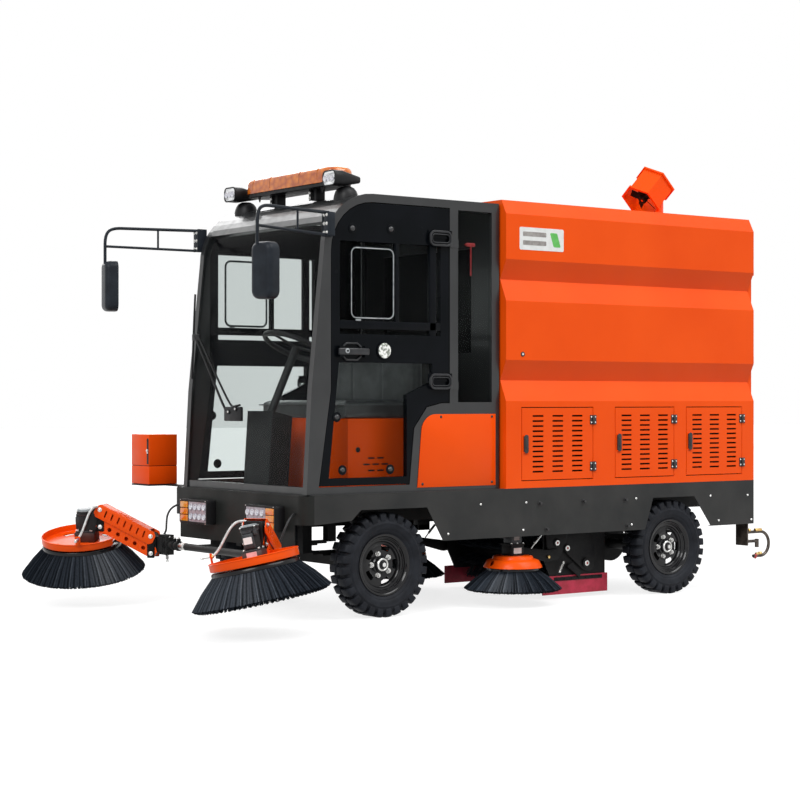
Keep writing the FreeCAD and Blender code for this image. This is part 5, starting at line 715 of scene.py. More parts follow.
def carve(shape, cutters):
    """Cuts shapes out of a shape with a boolean modifier, applied at once."""
    stock, tool = (bpy.data.objects.new(word, bpy.data.meshes.new(word)) for word in ("stock", "tool"))
    for item, source in ((stock, shape), (tool, cutters)):
        source.to_mesh(item.data)
        source.free()
        bpy.context.scene.collection.objects.link(item)
    cut = stock.modifiers.new("cut", "BOOLEAN")
    cut.operation, cut.solver, cut.object, cut.use_self = "DIFFERENCE", "EXACT", tool, True
    result = bmesh.new()
    bpy.context.view_layer.update()
    result.from_object(stock, bpy.context.evaluated_depsgraph_get())
    for item in (stock, tool):
        data = item.data
        bpy.data.objects.remove(item)
        bpy.data.meshes.remove(data)
    return result


def hex_nut(radius, height):
    """A hexagonal nut or bolt head with softened corners."""
    return drum(radius, height, 6, soften=radius * 0.12)


def rim():
    """A whole wheel about the Y axis at the origin, its outer side towards +Y."""
    cutters = bmesh.new()
    for i in range(5):
        add(cutters, kidney(78, 106, 34, -30, 40, steps=8), turn(72 * i + 19))
    whole = carve(turned(rim_section(), 96, closed=True), cutters)
    hub = [(0, 47), (12, 47), (16, 45), (17, 40), (26, 39), (30, 36), (41, 34), (43, 31), (44, 20), (50, 14), (50, 4),
           (42, 2), (42, -31), (22.5, -31), (22.5, 24), (0, 24)]
    add(whole, turned(hub, 48))
    for i in range(5):
        spot = turn(72 * i) @ at(62, 0, 0)
        add(whole, turned([(0, 34), (6, 33), (8, 29), (8, 14)], 16), spot, finish=1)
        add(whole, turned([(15, 13), (15, 16), (8, 17)], 24), spot, finish=1)
        add(whole, hex_nut(13.5, 11), spot @ at(0, 0, 16), finish=1)
    add(whole, turned([(26, 39.2), (28, 41), (33, 41), (36, 38), (36, 34)], 40), finish=1)
    add(whole, hex_nut(13, 7), at(0, 0, 46), finish=1)
    whole.transform(ALONG_Y)
    return whole


for place, x in WHEEL_PLACES.items():
    left = add(bmesh.new(), rim(), at(x, WHEEL_Y, AXLE_Z))
    pair("pressed_rim_" + place, left, "wheel_" + place, "rim_black", [wheel_black, zinc], ["rim_" + place])

# %% [markdown]
# ## Brushes
#
# A brush is thousands of stiff bristles set in a disc, and they are modelled as
# such: a sector of three-sided spikes, bowed outwards and drawn into clumps at
# their tips, is spun into the full ring. A core behind them, coloured darker than
# the bristles as painted shade inside the bristle mass, stops the eye.


# %% Bristle rings
def spike(root, tip, thick, bow, away):
    """One bristle from root to tip, bowed in a direction."""
    root, tip = Vector(root), Vector(tip)
    span = tip - root
    shape = bmesh.new()
    bmesh.ops.create_cone(shape, cap_ends=False, segments=3, radius1=thick, radius2=thick * 0.75, depth=span.length)
    lengthwise = [e for e in shape.edges if abs(e.verts[0].co.z - e.verts[1].co.z) > span.length / 2]
    bmesh.ops.subdivide_edges(shape, edges=lengthwise, cuts=1)
    shape.transform(Matrix.Translation((root + tip) / 2) @ span.to_track_quat("-Z", "X").to_matrix().to_4x4())
    for vert in shape.verts:
        share = (vert.co - root).dot(span) / span.length_squared
        vert.co += Vector(away) * (bow * 4 * share * (1 - share))
    return shape


def bristle_ring(rows, sectors, top_z, thick, seed):
    """Rows of (root radius, tip radius, depth of the tips, spikes in a sector) spun into a full ring."""
    shades = (0, 0, 3, 3, 4)  # finish numbers in BRUSH_FINISHES: plain, deep and pale bristles
    chance = random.Random(seed)
    sector = bmesh.new()
    width = 2 * math.pi / sectors
    for root_radius, tip_radius, depth, count in rows:
        for i in range(count):
            if i % 3 == 0:
                shade = chance.choice(shades)
            angle = (i + 0.5 + chance.uniform(-0.3, 0.3)) / count * width
            clump = (int(i / 5) * 5 + 2.5) / count * width
            lean = angle + (clump - angle) * 0.30 + chance.uniform(-0.25, 0.25) * width / count
            trim = chance.uniform(-3, 1.5)
            reach = tip_radius + trim
            root = (root_radius * math.cos(angle), root_radius * math.sin(angle), top_z)
            tip = (reach * math.cos(lean), reach * math.sin(lean), top_z - depth - trim * 1.2 + 24)
            away = (math.cos(angle), math.sin(angle), 0.35)
            add(sector, spike(root, tip, thick * chance.uniform(0.8, 1.15), 5, away), finish=shade)
    bmesh.ops.spin(sector, geom=[*sector.verts, *sector.edges, *sector.faces], cent=(0, 0, 0), axis=(0, 0, 1),
                   dvec=(0, 0, 0), angle=2 * math.pi * (sectors - 1) / sectors, steps=sectors - 1, use_merge=False,
                   use_duplicate=True)
    return sector


# %% Front side brushes
BRUSH = Vector((1862.3, 939.3, 364.0))
LEAN = Matrix.Translation(BRUSH) @ turn(12, (0.70711, 0.70711, 0))

rows = [(217, 352, 172, 24), (210, 342, 179, 22), (200, 328, 186, 20), (188, 312, 190, 16)]
ring = bristle_ring(rows, 24, -24, 3.0, 7)
core = turned([(0, -36), (182, -36), (186, -30), (212, -30), (284, -112), (341, -164), (318, -178), (190, -60),
               (0, -60)], 72)
add(ring, core, finish=1)
disc = turned([(0, -6), (214, -6), (222, -9), (225, -14), (225, -27), (219, -34), (206, -35), (0, -35)], 96)
add(ring, disc, finish=2)
hub = turned([(17, -65), (48, -65), (48, -35), (17, -35)], 40)
add(ring, hub, finish=2)
# painted shade: the core finish is darker than the bristles and stands in for the shade inside the bristle mass
shaded_bristle_core = new_finish("bristle_roots", (0.006, 0.008, 0.011), 0.7, specular=0.05)
tone(shaded_bristle_core, 30, (0.004, 0.006, 0.008), (0.009, 0.012, 0.016))
disc_black = new_finish("gloss_black_disc", (0.006, 0.006, 0.007), 0.25, coat=0.1, specular=0.2)
sheen_change(disc_black, 15, 0.16, 0.32)
BRUSH_FINISHES = [bristle, shaded_bristle_core, disc_black, bristle_deep, bristle_pale]
ring.transform(LEAN)
pair("side_brush_bristles", ring, "side_brush", "brush_bristle", BRUSH_FINISHES, ["side_brush"])

# %% [markdown]
# The two brushes under the middle of the machine stand upright and are smaller.
# They come from the same ring of spikes, with fewer rows and no lean.

# %% Middle brushes
MID_BRUSH = at(-131, 550, 0)
rows = [(147, 281, 130, 22), (139, 268, 137, 20), (128, 252, 141, 16)]
ring = bristle_ring(rows, 20, 200, 3.0, 11)
# the cone core takes the darker core finish: painted shade inside the bristle mass
add(ring, turned([(0, 200), (144, 200), (200, 152), (272, 89), (250, 84), (128, 178), (0, 178)], 64), finish=1)
add(ring, turned([(17, 214), (146, 214), (150, 211), (150, 198), (146, 195), (17, 195)], 72, closed=True), finish=2)
ring.transform(MID_BRUSH)
pair("mid_brush_bristles", ring, "mid_brush", "brush_bristle", BRUSH_FINISHES, ["mid_brush"])

# %% [markdown]
# The main roller lies across the machine behind the middle brushes. One row of
# tufts along its tube is modelled, three spikes wide, and nine turned copies
# complete it.

# %% Main roller
ROLLER_X, ROLLER_Z = -690, 228
TUFTS, TUFT_REACH = 88, 435
chance = random.Random(5)
tufts = bmesh.new()
for i in range(TUFTS):
    y = -TUFT_REACH + 2 * TUFT_REACH * i / (TUFTS - 1)
    for column in (-8, 0, 8):
        root = (column, y, 78)
        tip = (column * 1.6 + chance.uniform(-3, 3), y + chance.uniform(-3, 3), 198 + chance.uniform(-4, 1))
        add(tufts, spike(root, tip, 2.6, 0, (0, 1, 0)))
bmesh.ops.spin(tufts, geom=[*tufts.verts, *tufts.edges, *tufts.faces], cent=(0, 0, 0), axis=(0, 1, 0), dvec=(0, 0, 0),
               angle=2 * math.pi * 0.9, steps=9, use_merge=False, use_duplicate=True)
add(tufts, turned([(21, -440), (80, -440), (80, 440), (21, 440)], 48, closed=True), ALONG_Y, finish=1)
tufts.transform(at(ROLLER_X, 0, ROLLER_Z))
piece("roller_bristles", tufts, "roller_brush", [bristle, under_black], ["roller_brush"])

# %% [markdown]
# ## Guard dishes and brush motors
#
# The dish over a front brush is a shallow steel tray with a rolled rim and four
# openings in its floor. It is a section spun once, then cut: a kidney-shaped cutter
# four times, and a block where the arm comes in. The gearbox and motor stand on
# it, so they are built upright in their own coordinates, x along the arm, and one
# matrix turns and leans them together.

# %% Dish
HEAD = LEAN @ turn(44)
tray = turned([(22, 0), (221, 0), (225, 1.5), (226.5, 6), (226.5, 35), (229, 37), (229.5, 40), (227, 42.5),
               (223.5, 42), (222, 39), (222, 9), (219, 4.8), (22, 4.8)], 112, closed=True)
cutters = block((-500, -85, -80), (-190, 25, 120))
for i in range(4):
    add(cutters, kidney(140, 172, 24), turn(33 + 90 * i))
tray = carve(tray, cutters)
tray.transform(HEAD)
pair("guard_dish", tray, "brush_head", "orange_paint", orange, ["brush_dish"])


# %% Motor and gearbox
def plate_label(width, height):
    """A thin label plate with rounded corners, face up and centred."""
    return slab(box_outline(-width / 2, width / 2, -height / 2, height / 2), 0.9, 3.0)


def rounded_post(width, depth, height, corner, soften=2.0):
    """An upright post of rounded square section, centred."""
    return slab(box_outline(-width / 2, width / 2, -depth / 2, depth / 2), height, corner, soften)


motor = block((-92.5, -51.5, 4.6), (25.5, 51.5, 62), 4)
add(motor, rounded_post(104, 96, 9, 10), at(-31, 0, 61), finish=1)
add(motor, drum(43, 96, 48, soften=2), at(-30, 0, 69), finish=1)
add(motor, drum(48, 20, 48, soften=4), at(-30, 0, 162), finish=1)
add(motor, drum(48, 8, 40, soften=2.5), at(-30, 0, 182), finish=2)
add(motor, drum(46, 7, 40, top=38, soften=2.5), at(-30, 0, 189), finish=2)
add(motor, block((-6, -34, 78), (20, 24, 152), 5), finish=1)
add(motor, block((0, -30, 152), (16, 18, 168), 4), finish=1)
add(motor, drum(11, 24, 20, soften=2), at(6, 34, 140), finish=3)
add(motor, drum(7, 18, 16, soften=1), at(6, 34, 160), finish=3)
for x in (-74, 13):
    for y in (-39, 39):
        add(motor, hex_nut(6.5, 6), at(x, y, 70), finish=4)
        add(motor, drum(4, 22, 12), at(x * 0.82 - 5, y, 56), finish=4)
for spot in (45, 135, 225, 315):
    add(motor, hex_nut(5.5, 5), at(-30, 0, 183) @ turn(spot) @ at(52, 0, 0), finish=4)
add(motor, plate_label(54, 26), at(25.6, 0, 46) @ ON_FRONT, finish=6)
add(motor, plate_label(44, 34), at(20.1, -7, 118) @ ON_FRONT, finish=5)
motor.transform(HEAD)
cap_grey = new_finish("pale_motor_cap", (0.20, 0.22, 0.23), 0.38)
tone(cap_grey, 30, (0.16, 0.18, 0.19), (0.26, 0.28, 0.29))
relief(cap_grey, 500, 0.1, 0.0005)
label_pink = new_finish("pale_red_label", (0.72, 0.42, 0.42), 0.4)
tone(label_pink, 30, (0.66, 0.36, 0.37), (0.78, 0.48, 0.48))
pair("drive_motor", motor, "brush_head", "black_paint",
     [gear_brown, motor_grey, cap_grey, seal_rubber, zinc, label_white, label_pink])

# %% [markdown]
# The four pins of an arm end in big zinc-plated bolts. A bolt head is a flat
# washer, a six-sided head and the domed end of the thread. One is made and set on
# both faces of the links, square to the arm, with a thin dark plate under the
# lower one.


# %% Arm bolts
def bolt_head(radius, height):
    """A bolt head along Z: its washer, its hexagon and the rounded end of the thread."""
    shape = drum(radius * 1.45, height * 0.25, 28, soften=0.5)
    add(shape, hex_nut(radius, height), at(0, 0, height * 0.2))
    add(shape,
        turned([(0, height * 1.45), (radius * 0.32, height * 1.42), (radius * 0.5, height * 1.25),
                (radius * 0.5, height * 0.8)], 14))
    return shape


ARM_TURN = turn(44)
PINS = {"inner": ((1572.4, 617.6), (401, 303)), "outer": ((1786.7, 824.6), (550, 452))}
ACROSS = (60.5, 55.2)  # from the middle of the arm to the upper and the lower bolt
for end, body in (("inner", "swing_bracket"), ("outer", "brush_head")):
    (x, y), heights = PINS[end]
    bolts = bmesh.new()
    for z, reach in zip(heights, ACROSS):
        for side in (1, -1):
            add(bolts, bolt_head(8.6, 8), at(x, y, z) @ ARM_TURN @ at(0, side * reach, 0) @ turn(-90 * side, "X"))
            add(bolts, slab([(-22, -26), (22, -26), (22, 74), (-22, 74)], 3, 7, 0.6),
                at(x, y, heights[1]) @ ARM_TURN @ at(0, 52 if side > 0 else -55, 0) @ at(0, 3, 0) @ ON_SIDE, finish=1)
    pair(end + "_pin_bolts", bolts, body, "pipe_steel", [zinc, under_black])

# %% [markdown]
# The upper link is a folded channel: two side plates under a top web, each plate
# with seven upright slots between the pins. A block with cut corners is carved by a
# long inner block, by the two pin bores and by the row of slots, in the link's own
# coordinates: x from pin to pin, y square to it and z across.

# %% Upper links
inner, outer = Vector((1572.4, 617.6, 401)), Vector((1786.7, 824.6, 550))
reach = (outer - inner).length
along = (outer - inner).normalized()
across = along.cross(Vector((0, 0, 1))).normalized()
LINK = Matrix.Translation(inner) @ Matrix((along, across.cross(along), across)).transposed().to_4x4()
channel = slab([(-26, -30), (-8, -48), (reach + 8, -48), (reach + 26, -30), (reach + 26, 12), (reach + 8, 30),
                (-8, 30), (-26, 12)], 120, 2, 1.5)
channel.transform(at(0, 0, -60))
cutters = block((-60, -80, -56), (reach + 60, 26, 56))
add(cutters, block((-60, -90, -56), (26, 70, 56)))
for x in (0, reach):
    add(cutters, drum(10, 160, 24), at(x, 0, -80))
for i in range(7):
    add(cutters, slab(box_outline(-4.5, 4.5, -20, 20), 160, 4.2), at(reach * (i + 1) / 8, -8, -80) @ turn(-4))
channel = carve(channel, cutters)
channel.transform(LINK)
pair("slotted_link", channel, "upper_link", "orange_paint", orange, ["upper_link"])

# %% [markdown]
# The arms swing on a cross tube. Clamps, a bright sleeve and the pivot fork with
# its grease nipple and hanging bolt sit on it. Each is a short collar on the tube.

# %% Cross tube fittings
TUBE_X, TUBE_Z = 1522, 352
fork = bmesh.new()
for y, width, radius in ((544, 16, 29), (506, 22, 31), (452, 14, 27), (404, 18, 29)):
    add(fork, drum(radius, width, 32, soften=3), at(TUBE_X, y, TUBE_Z) @ ALONG_Y)
    add(fork, block((TUBE_X - 10, y + 2, TUBE_Z + radius - 4), (TUBE_X + 10, y + width - 2, TUBE_Z + radius + 12), 2))
    add(fork, bolt_head(5.5, 6), at(TUBE_X, y + width / 2, TUBE_Z + radius + 12), finish=1)
add(fork, drum(21.5, 62, 32, soften=1), at(TUBE_X, 330, TUBE_Z) @ ALONG_Y, finish=1)
add(fork, pipe([(1536, 520, 330), (1536, 520, 300), (1536, 520, 262)], 5), finish=1)
add(fork, hex_nut(9, 8), at(1536, 520, 256), finish=1)
add(fork, spring((1536, 520, 272), (1536, 520, 318), 9, 1.8, 6))
both_sides(fork)
piece("cross_tube_clamps", fork, "chassis", [under_black, zinc])

# %% [markdown]
# ### Water hoses
#
# A clear hose feeds the spray nozzle of each front brush. It starts at the top of
# the brush head, arcs down by its own stiffness and enters a fitting on the dish
# rim. A black one comes down from the front panel to the arm's pivot. A curve with
# a round bevel is the natural way: a NURBS spline whose few points are listed
# gives the even arc of a stiff hose.

# %% Hose helper
def hose(name, points, diameter, body, finish):
    """A hose along a smooth spline through a few points in millimetres."""
    line = bpy.data.curves.new(name, "CURVE")
    line.dimensions = "3D"
    spline = line.splines.new("NURBS")
    spline.points.add(len(points) - 1)
    for point, place in zip(spline.points, points):
        point.co = (*[c * 0.001 for c in place], 1)
    spline.order_u, spline.use_endpoint_u, spline.resolution_u = 3, True, 10
    made = bpy.data.objects.new(name, line)
    bpy.context.scene.collection.objects.link(made)
    bpy.context.view_layer.update()
    track = bpy.data.meshes.new_from_object(made.evaluated_get(bpy.context.evaluated_depsgraph_get()))
    bpy.data.meshes.remove(track)
    line.bevel_depth, line.bevel_resolution, line.use_fill_caps = diameter / 2000, 4, True
    line.materials.append(finish)
    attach(made, body)
    return made


def in_head(x, y, z, side):
    """A point of the leaned head in the machine's coordinates, on the left (1) or mirrored to the right (-1)."""
    place = HEAD @ Vector((x, y, z))
    return place.x, place.y * side, place.z


# %% Hoses of the brushes
for word, side in SIDES.items():
    body = "brush_head_" + word
    run = [(1826, 797, 566), (1861, 785, 571), (1899, 772, 541), (1930, 761, 482), (1958, 752, 424), (1984, 742, 394)]
    hose("spray_hose_" + word, [(x, y * side, z) for x, y, z in run], 13.5, body, hose_clear)
    run = [(1408, 600, 578), (1442, 622, 566), (1476, 628, 520), (1490, 612, 462), (1500, 596, 425), (1520, 590, 404)]
    hose("feed_hose_" + word, [(x, y * side, z) for x, y, z in run], 12, "chassis", seal_rubber)

nozzle = bmesh.new()
add(nozzle, drum(9.5, 12, 20, soften=1), finish=1)
add(nozzle, drum(8.3, 6, 20, soften=1), at(0, 0, 12), finish=2)
add(nozzle, turned([(0, 18), (7, 18), (7, 52), (9, 54), (9, 66), (6, 70), (0, 70)], 20))
entry = Vector(in_head(-50, -215, 75, 1))
nozzle.transform(at(*entry) @ Vector((0.66, -0.73, -0.16)).to_track_quat("Z", "Y").to_matrix().to_4x4())
stay = block((-64, -231, 36), (-36, -226, 92), 1.5)
add(stay, drum(14, 10, 20, soften=1), at(-50, -232, 76) @ ALONG_Y)
stay.transform(HEAD)
add(nozzle, stay, finish=3)
label_blue = new_finish("blue_ring", (0.01, 0.05, 0.35), 0.4)
tone(label_blue, 60, (0.008, 0.04, 0.30), (0.014, 0.06, 0.40))
pair("spray_nozzle", nozzle, "brush_head", "pipe_steel", [zinc, brass, label_blue, orange])

# %% [markdown]
# ## Lamps
#
# A headlamp is a black moulded box with an outer amber part, split in three by
# ribs, and an inner pale part with two rows of small bowls. The boxes keep the
# drawing's size and get round edges. Frames are outlines inset and raised.

# %% Headlamps
lamp_white = new_finish("lamp_bowl", (0.72, 0.72, 0.78), 0.18, coat=0.5)
tone(lamp_white, 40, (0.62, 0.62, 0.70), (0.80, 0.80, 0.84))
lamp_back = new_finish("lamp_back", (0.38, 0.32, 0.36), 0.3)
tone(lamp_back, 50, (0.30, 0.25, 0.29), (0.46, 0.40, 0.44))
orange_lens = new_finish("turn_lens", (0.80, 0.20, 0.01), 0.16, coat=0.4)
tone(orange_lens, 30, (0.85, 0.16, 0.005), (0.80, 0.32, 0.02), 0.4, 0.6, stretch=(1, 0.4, 2))

LAMP_EDGE = box_outline(200, 505, 478, 616)
heads = slab(LAMP_EDGE, 57, 14, 3)
heads.transform(at(1404.2, 0, 0) @ ON_FRONT)
add(heads, frame_bar(LAMP_EDGE, 13, 7, 14, 2), at(1459, 0, 0) @ ON_FRONT)
add(heads, slab(box_outline(207, 404, 490, 604), 2.5, 6), at(1460.5, 0, 0) @ ON_FRONT, finish=1)
for i in range(4):
    for z in (520, 574):
        bowl = turned([(0, 2.5), (6, 3.4), (11, 5.5), (15, 8), (17, 7.5), (17, 0)], 24)
        add(heads, bowl, at(1462.5, 232 + 48 * i, z) @ ALONG_X, finish=2)
        add(heads, turned([(0, 8), (4, 7), (6, 3.4)], 14), at(1462.5, 232 + 48 * i, z) @ ALONG_X, finish=2)
for i in range(3):
    low = 491 + 38 * i
    add(heads, block((1460, 412, low), (1469, 492, low + 35), 4, 3), finish=3)
for y in (214, 491):
    for z in (484, 610):
        add(heads, drum(3.4, 2.5, 12), at(1465.5, y, z) @ ALONG_X, finish=4)
both_sides(heads)
print("headlamps", len(heads.faces), "faces")

# %% [markdown]
# ### Roof lamps
#
# The amber bar is a long moulding with rounded ends on a dark tray, and each work
# lamp is a short tapering shell with an eight-sided mouth, set on a dome.


# %% Roof lamps
ASTERN = Matrix(((0, 0, -1, 0), (-1, 0, 0, 0), (0, 1, 0, 0), (0, 0, 0, 1)))
bar = slab(box_outline(-95, 95, -450, 450), 86, 84, 0, 10)
brim = [e for e in bar.edges if e.calc_face_angle() > SHARP and e.verts[0].co.z > 80 and e.verts[1].co.z > 80]
bmesh.ops.bevel(bar, geom=brim, offset=32, segments=6, profile=0.5, affect="EDGES", material=-1, clamp_overlap=True)
lamps = add(bmesh.new(), bar, at(985, 0, 2368), finish=5)
add(lamps, slab(box_outline(-90, 90, -444, 444), 20, 80, 2, 10), at(985, 0, 2348))
for y in (-330, -150, 150, 330):
    add(lamps, frame_bar(box_outline(-96, 96, 0, 80), 2.2, 2.2, 18), at(985, y, 2370) @ turn(90, "X"), finish=6)
for y in (-200, 200):
    add(lamps, block((955, y - 26, 2286), (1015, y + 26, 2350), 4))
    add(lamps, block((1020, y - 30, 2286), (1028, y - 8, 2352), 2))
    for z in (2300, 2330):
        add(lamps, bolt_head(6, 5), at(1028, y - 19, z) @ ALONG_X, finish=4)
for y in (-320, 320):
    add(lamps, drum(15, 34, 4, top=3), at(1040, y, 2352) @ turn(180, "X"))
cup = slab(box_outline(-60, 60, -42, 42), 63, 28, 0, 2)
tail = [f for f in cup.faces if f.calc_center_median().z > 62]
grown = bmesh.ops.extrude_face_region(cup, geom=tail)["geom"]
ends = [g for g in grown if isinstance(g, bmesh.types.BMVert)]
bmesh.ops.delete(cup, geom=tail, context="FACES_ONLY")
bmesh.ops.translate(cup, vec=(0, 0, 127), verts=ends)
bmesh.ops.scale(cup, vec=(0.42, 0.42, 1), verts=ends)
softened(cup, 3)
LAMP_Y, LAMP_Z = 512, 2374
work = add(bmesh.new(), cup, at(1124, LAMP_Y, LAMP_Z) @ ASTERN)
add(work, frame_bar(box_outline(-61, 61, -43, 43), 7, 7, 28, 1.5), at(1121, LAMP_Y, LAMP_Z) @ ON_FRONT)
add(work, slab(box_outline(-54, 54, -36, 36), 4, 22, 1.5), at(1122, LAMP_Y, LAMP_Z) @ ON_FRONT, finish=7)
for i in range(3):
    add(work, turned([(0, 2), (9, 3), (15, 7), (17, 7), (17, 0)], 20),
        at(1123.5, LAMP_Y + 34 * (i - 1), LAMP_Z) @ ALONG_X, finish=2)
add(work, turned([(68, -30), (68, 6), (65, 24), (58, 44), (46, 60), (28, 70), (0, 73)], 40),
    at(1013.5, LAMP_Y, LAMP_Z - 110))
both_sides(work)
add(lamps, work)
add(lamps, heads)
lens_silver = new_finish("reflector_silver", (0.62, 0.63, 0.64), 0.14, metallic=0.8)
tone(lens_silver, 60, (0.42, 0.43, 0.44), (0.86, 0.87, 0.88), 0.4, 0.6, stretch=(1, 0.3, 1.4))
amber_rib = new_finish("amber_rib", (0.30, 0.06, 0.003), 0.25)
tone(amber_rib, 40, (0.24, 0.05, 0.002), (0.36, 0.08, 0.004))
piece("lamp_set", lamps, "chassis",
      [box_black, lamp_back, lamp_white, orange_lens, zinc, amber_lens, amber_rib, lens_silver], ["lamps"])

# %% [markdown]
# ## Mirrors
#
# Each mirror hangs on a bent steel tube with a thinner brace. Round bars make
# the tubes, their line softened at the bend. They join the bolted base and the
# head: a shell with deep rounded edges around a silvered pane.


# %% Mirrors
root, post = Vector((1231, 667.5, 2168)), Vector((1774, 821, 2168))
towards = (post - root).normalized()
mirror = pipe([root, post - towards * 150, post - towards * 40, post - Vector((0, 0, 40)), post - Vector((0, 0, 150)),
               Vector((1774, 821, 1962))], 9)
add(mirror, pipe([(1231, 667.5, 2050), (1500, 743.5, 2056), (1774, 821, 2062)], 7.5))
add(mirror, pipe([(1475, 736.5, 2168), (1475, 736.5, 2112), (1475, 736.5, 2055)], 6))
add(mirror, block((1200, 645.3, 2041), (1262, 652, 2177), 2))
add(mirror, block((1206, 652, 2046), (1250, 690, 2172), 3))
add(mirror, block((1250, 655, 2044), (1259, 700, 2174), 2))
for z in (2062, 2109, 2156):
    for y in (664, 688):
        add(mirror, bolt_head(6.5, 5), at(1259, y, z) @ ALONG_X, finish=1)
shell = slab(box_outline(-70, 70, -145, 145), 70, 42, 0, 8)
front = [e for e in shell.edges if e.calc_face_angle() > SHARP and min(v.co.z for v in e.verts) > 60]
bmesh.ops.bevel(shell, geom=front, offset=30, segments=6, profile=0.5, affect="EDGES", material=-1, clamp_overlap=True)
bmesh.ops.translate(shell, vec=(0, 0, -32), verts=shell.verts)
add(shell, slab(box_outline(-61, 61, -136, 136), 2, 36, 0.6), at(0, 0, -34.5), finish=2)
add(shell, frame_bar(box_outline(-70, 70, -145, 145), 7, 7, 42, 2), at(0, 0, -37))
shell.transform(at(1738, 833, 1834) @ turn(15) @ ON_FRONT)
add(mirror, shell)
both_sides(mirror)
mirror_shell = new_finish("mirror_shell", (0.014, 0.018, 0.024), 0.40, specular=0.14)
tone(mirror_shell, 14, (0.011, 0.014, 0.019), (0.018, 0.023, 0.030))
relief(mirror_shell, 900, 0.15, 0.0004)
piece("mirror_arms", mirror, "chassis", [mirror_shell, zinc, mirror_silver], ["mirrors"])

# %% [markdown]
# ## Tool box
#
# The box at the right front corner is folded sheet on a black shelf. Its lid meets
# the body in a dark seam, and a tall slot in the front face holds a lock; the slot
# is a flat black strip and disc on the face, its black painted shade.

# %% Tool box
crate = block((1265, -1096, 682), (1454, -882, 788), 2.5)
add(crate, block((1265, -1096, 791), (1454, -882, 975), 2.5))
add(crate, block((1268, -1093, 787), (1451, -885, 792)), finish=1)
# the black strip and disc are the lock's slot, its dark inside painted as shade
add(crate, block((1453, -909, 800), (1454.6, -887, 940), 0.4), finish=1)
add(crate, drum(12, 1.6, 24), at(1453, -898, 940) @ ALONG_X, finish=1)
add(crate, turned([(0, 9), (6, 9), (8.5, 7), (9, 0)], 24), at(1454, -898, 880) @ ALONG_X, finish=2)
add(crate, block((1454, -904, 862), (1459, -892, 874), 1.5), finish=2)
add(crate, block((1262, -1092, 672), (1457, -880, 681), 1.5), finish=1)
add(crate, block((1265, -884, 671), (1340, -693, 679), 1.5), finish=1)
add(crate, slab([(-884, 672), (-693, 672), (-693, 607), (-720, 607)], 8), at(1265, 0, 0) @ ON_FRONT, finish=1)
piece("tool_box", crate, "chassis", [orange, under_black, zinc], ["utility_box"])

# %% [markdown]
# ## Middle brush heads and their linkage
#
# A stepped orange cover, a gearbox and a motor hang over each middle brush on a
# black post. Behind it a pair of thick plates with bushed pins lifts and lowers
# the brush. The cover is a spun section with one round hole. The plates are
# outlines with rounded corners, drawn in side view and stood up.

# %% Middle brush heads
cover = turned([(24, 283), (106, 283), (114, 280), (121, 264), (138, 261), (150, 256), (158, 244), (168, 222),
                (170, 216), (166, 216), (163, 221), (154, 241), (147, 252), (136, 257), (118, 260), (111, 276),
                (104, 279), (24, 279)], 96, closed=True)
cover = carve(cover, add(bmesh.new(), drum(15, 60, 24), at(120, 0, 244) @ ALONG_X))
head = add(bmesh.new(), cover)
add(head, block((-46, -46, 283), (46, 46, 344), 4), finish=1)
add(head, rounded_post(106, 98, 9, 8), at(0, 0, 343), finish=1)
add(head, rounded_post(86, 84, 68, 20), at(0, 0, 351), finish=2)
add(head, block((-45, -255, 381), (45, 20, 419), 5), finish=1)
add(head, block((-45, -255, 381), (45, -205, 496), 3), finish=1)
for x in (-43, 0, 43):
    add(head, bolt_head(5.5, 5), at(x, 40, 352), finish=3)
add(head, plate_label(58, 33), at(2, 46.4, 312) @ turn(180, "Z") @ ON_SIDE, finish=4)
add(head, plate_label(40, 28), at(6, 42.4, 386) @ turn(180, "Z") @ ON_SIDE, finish=5)
head.transform(MID_BRUSH)
both_sides(head)
label_grey = new_finish("grey_label", (0.30, 0.28, 0.26), 0.45)
tone(label_grey, 40, (0.24, 0.22, 0.21), (0.36, 0.34, 0.32))
piece("mid_brush_covers", head, "chassis",
      [orange, under_black, motor_grey, zinc, label_white, label_grey], ["mid_brush_heads"])


# %% Linkage plates
def side_plate(outline, outer_y, depth, corner):
    """A plate drawn in side view as (x, z) points, its outer face at a distance to the left."""
    shape = slab(outline, depth, corner, 0.8)
    shape.transform(at(0, outer_y, 0) @ ON_SIDE)
    return shape


print("plate helper ready")

# %% Linkage
link = side_plate([(-440, 405), (-612, 405), (-596, 330), (-548, 244), (-500, 244), (-448, 300)], 489, 9, 34)
add(link,
    side_plate([(-558, 405), (-806, 405), (-834, 250), (-822, 158), (-752, 152), (-610, 262), (-560, 316)], 481, 7, 30))
add(link, side_plate([(-186, 330), (-186, 292), (-430, 226), (-528, 236), (-528, 300), (-430, 296)], 500, 10, 14))
add(link, side_plate([(-600, 190), (-700, 120), (-712, 150), (-640, 214)], 492, 8, 8))
for x, z, radius in ((-520, 334, 26), (-600, 299, 24), (-755, 203, 30)):
    spot = at(x, 489, z) @ ALONG_Y
    add(link, drum(radius, 6, 40, soften=2), spot)
    add(link, turned([(8, 5), (8, 10), (15, 10), (17, 8), (17, 5)], 32, closed=True), spot, finish=1)
    add(link, drum(8, 7.5, 24, soften=1), spot, finish=3)
add(link, drum(9, 14, 20, soften=2), at(-442, 499, 255) @ ALONG_Y, finish=2)
add(link, pipe([(-380, 512, 392), (-352, 512, 364), (-330, 512, 342)], 8), finish=1)
add(link, pipe([(-330, 512, 342), (-315, 512, 326), (-301, 512, 311)], 4), finish=1)
add(link, spring((-563, 497, 214), (-540, 497, 172), 8, 2, 6), finish=1)
add(link, pipe([(-566, 497, 220), (-550, 497, 190), (-532, 497, 158)], 3.5), finish=1)
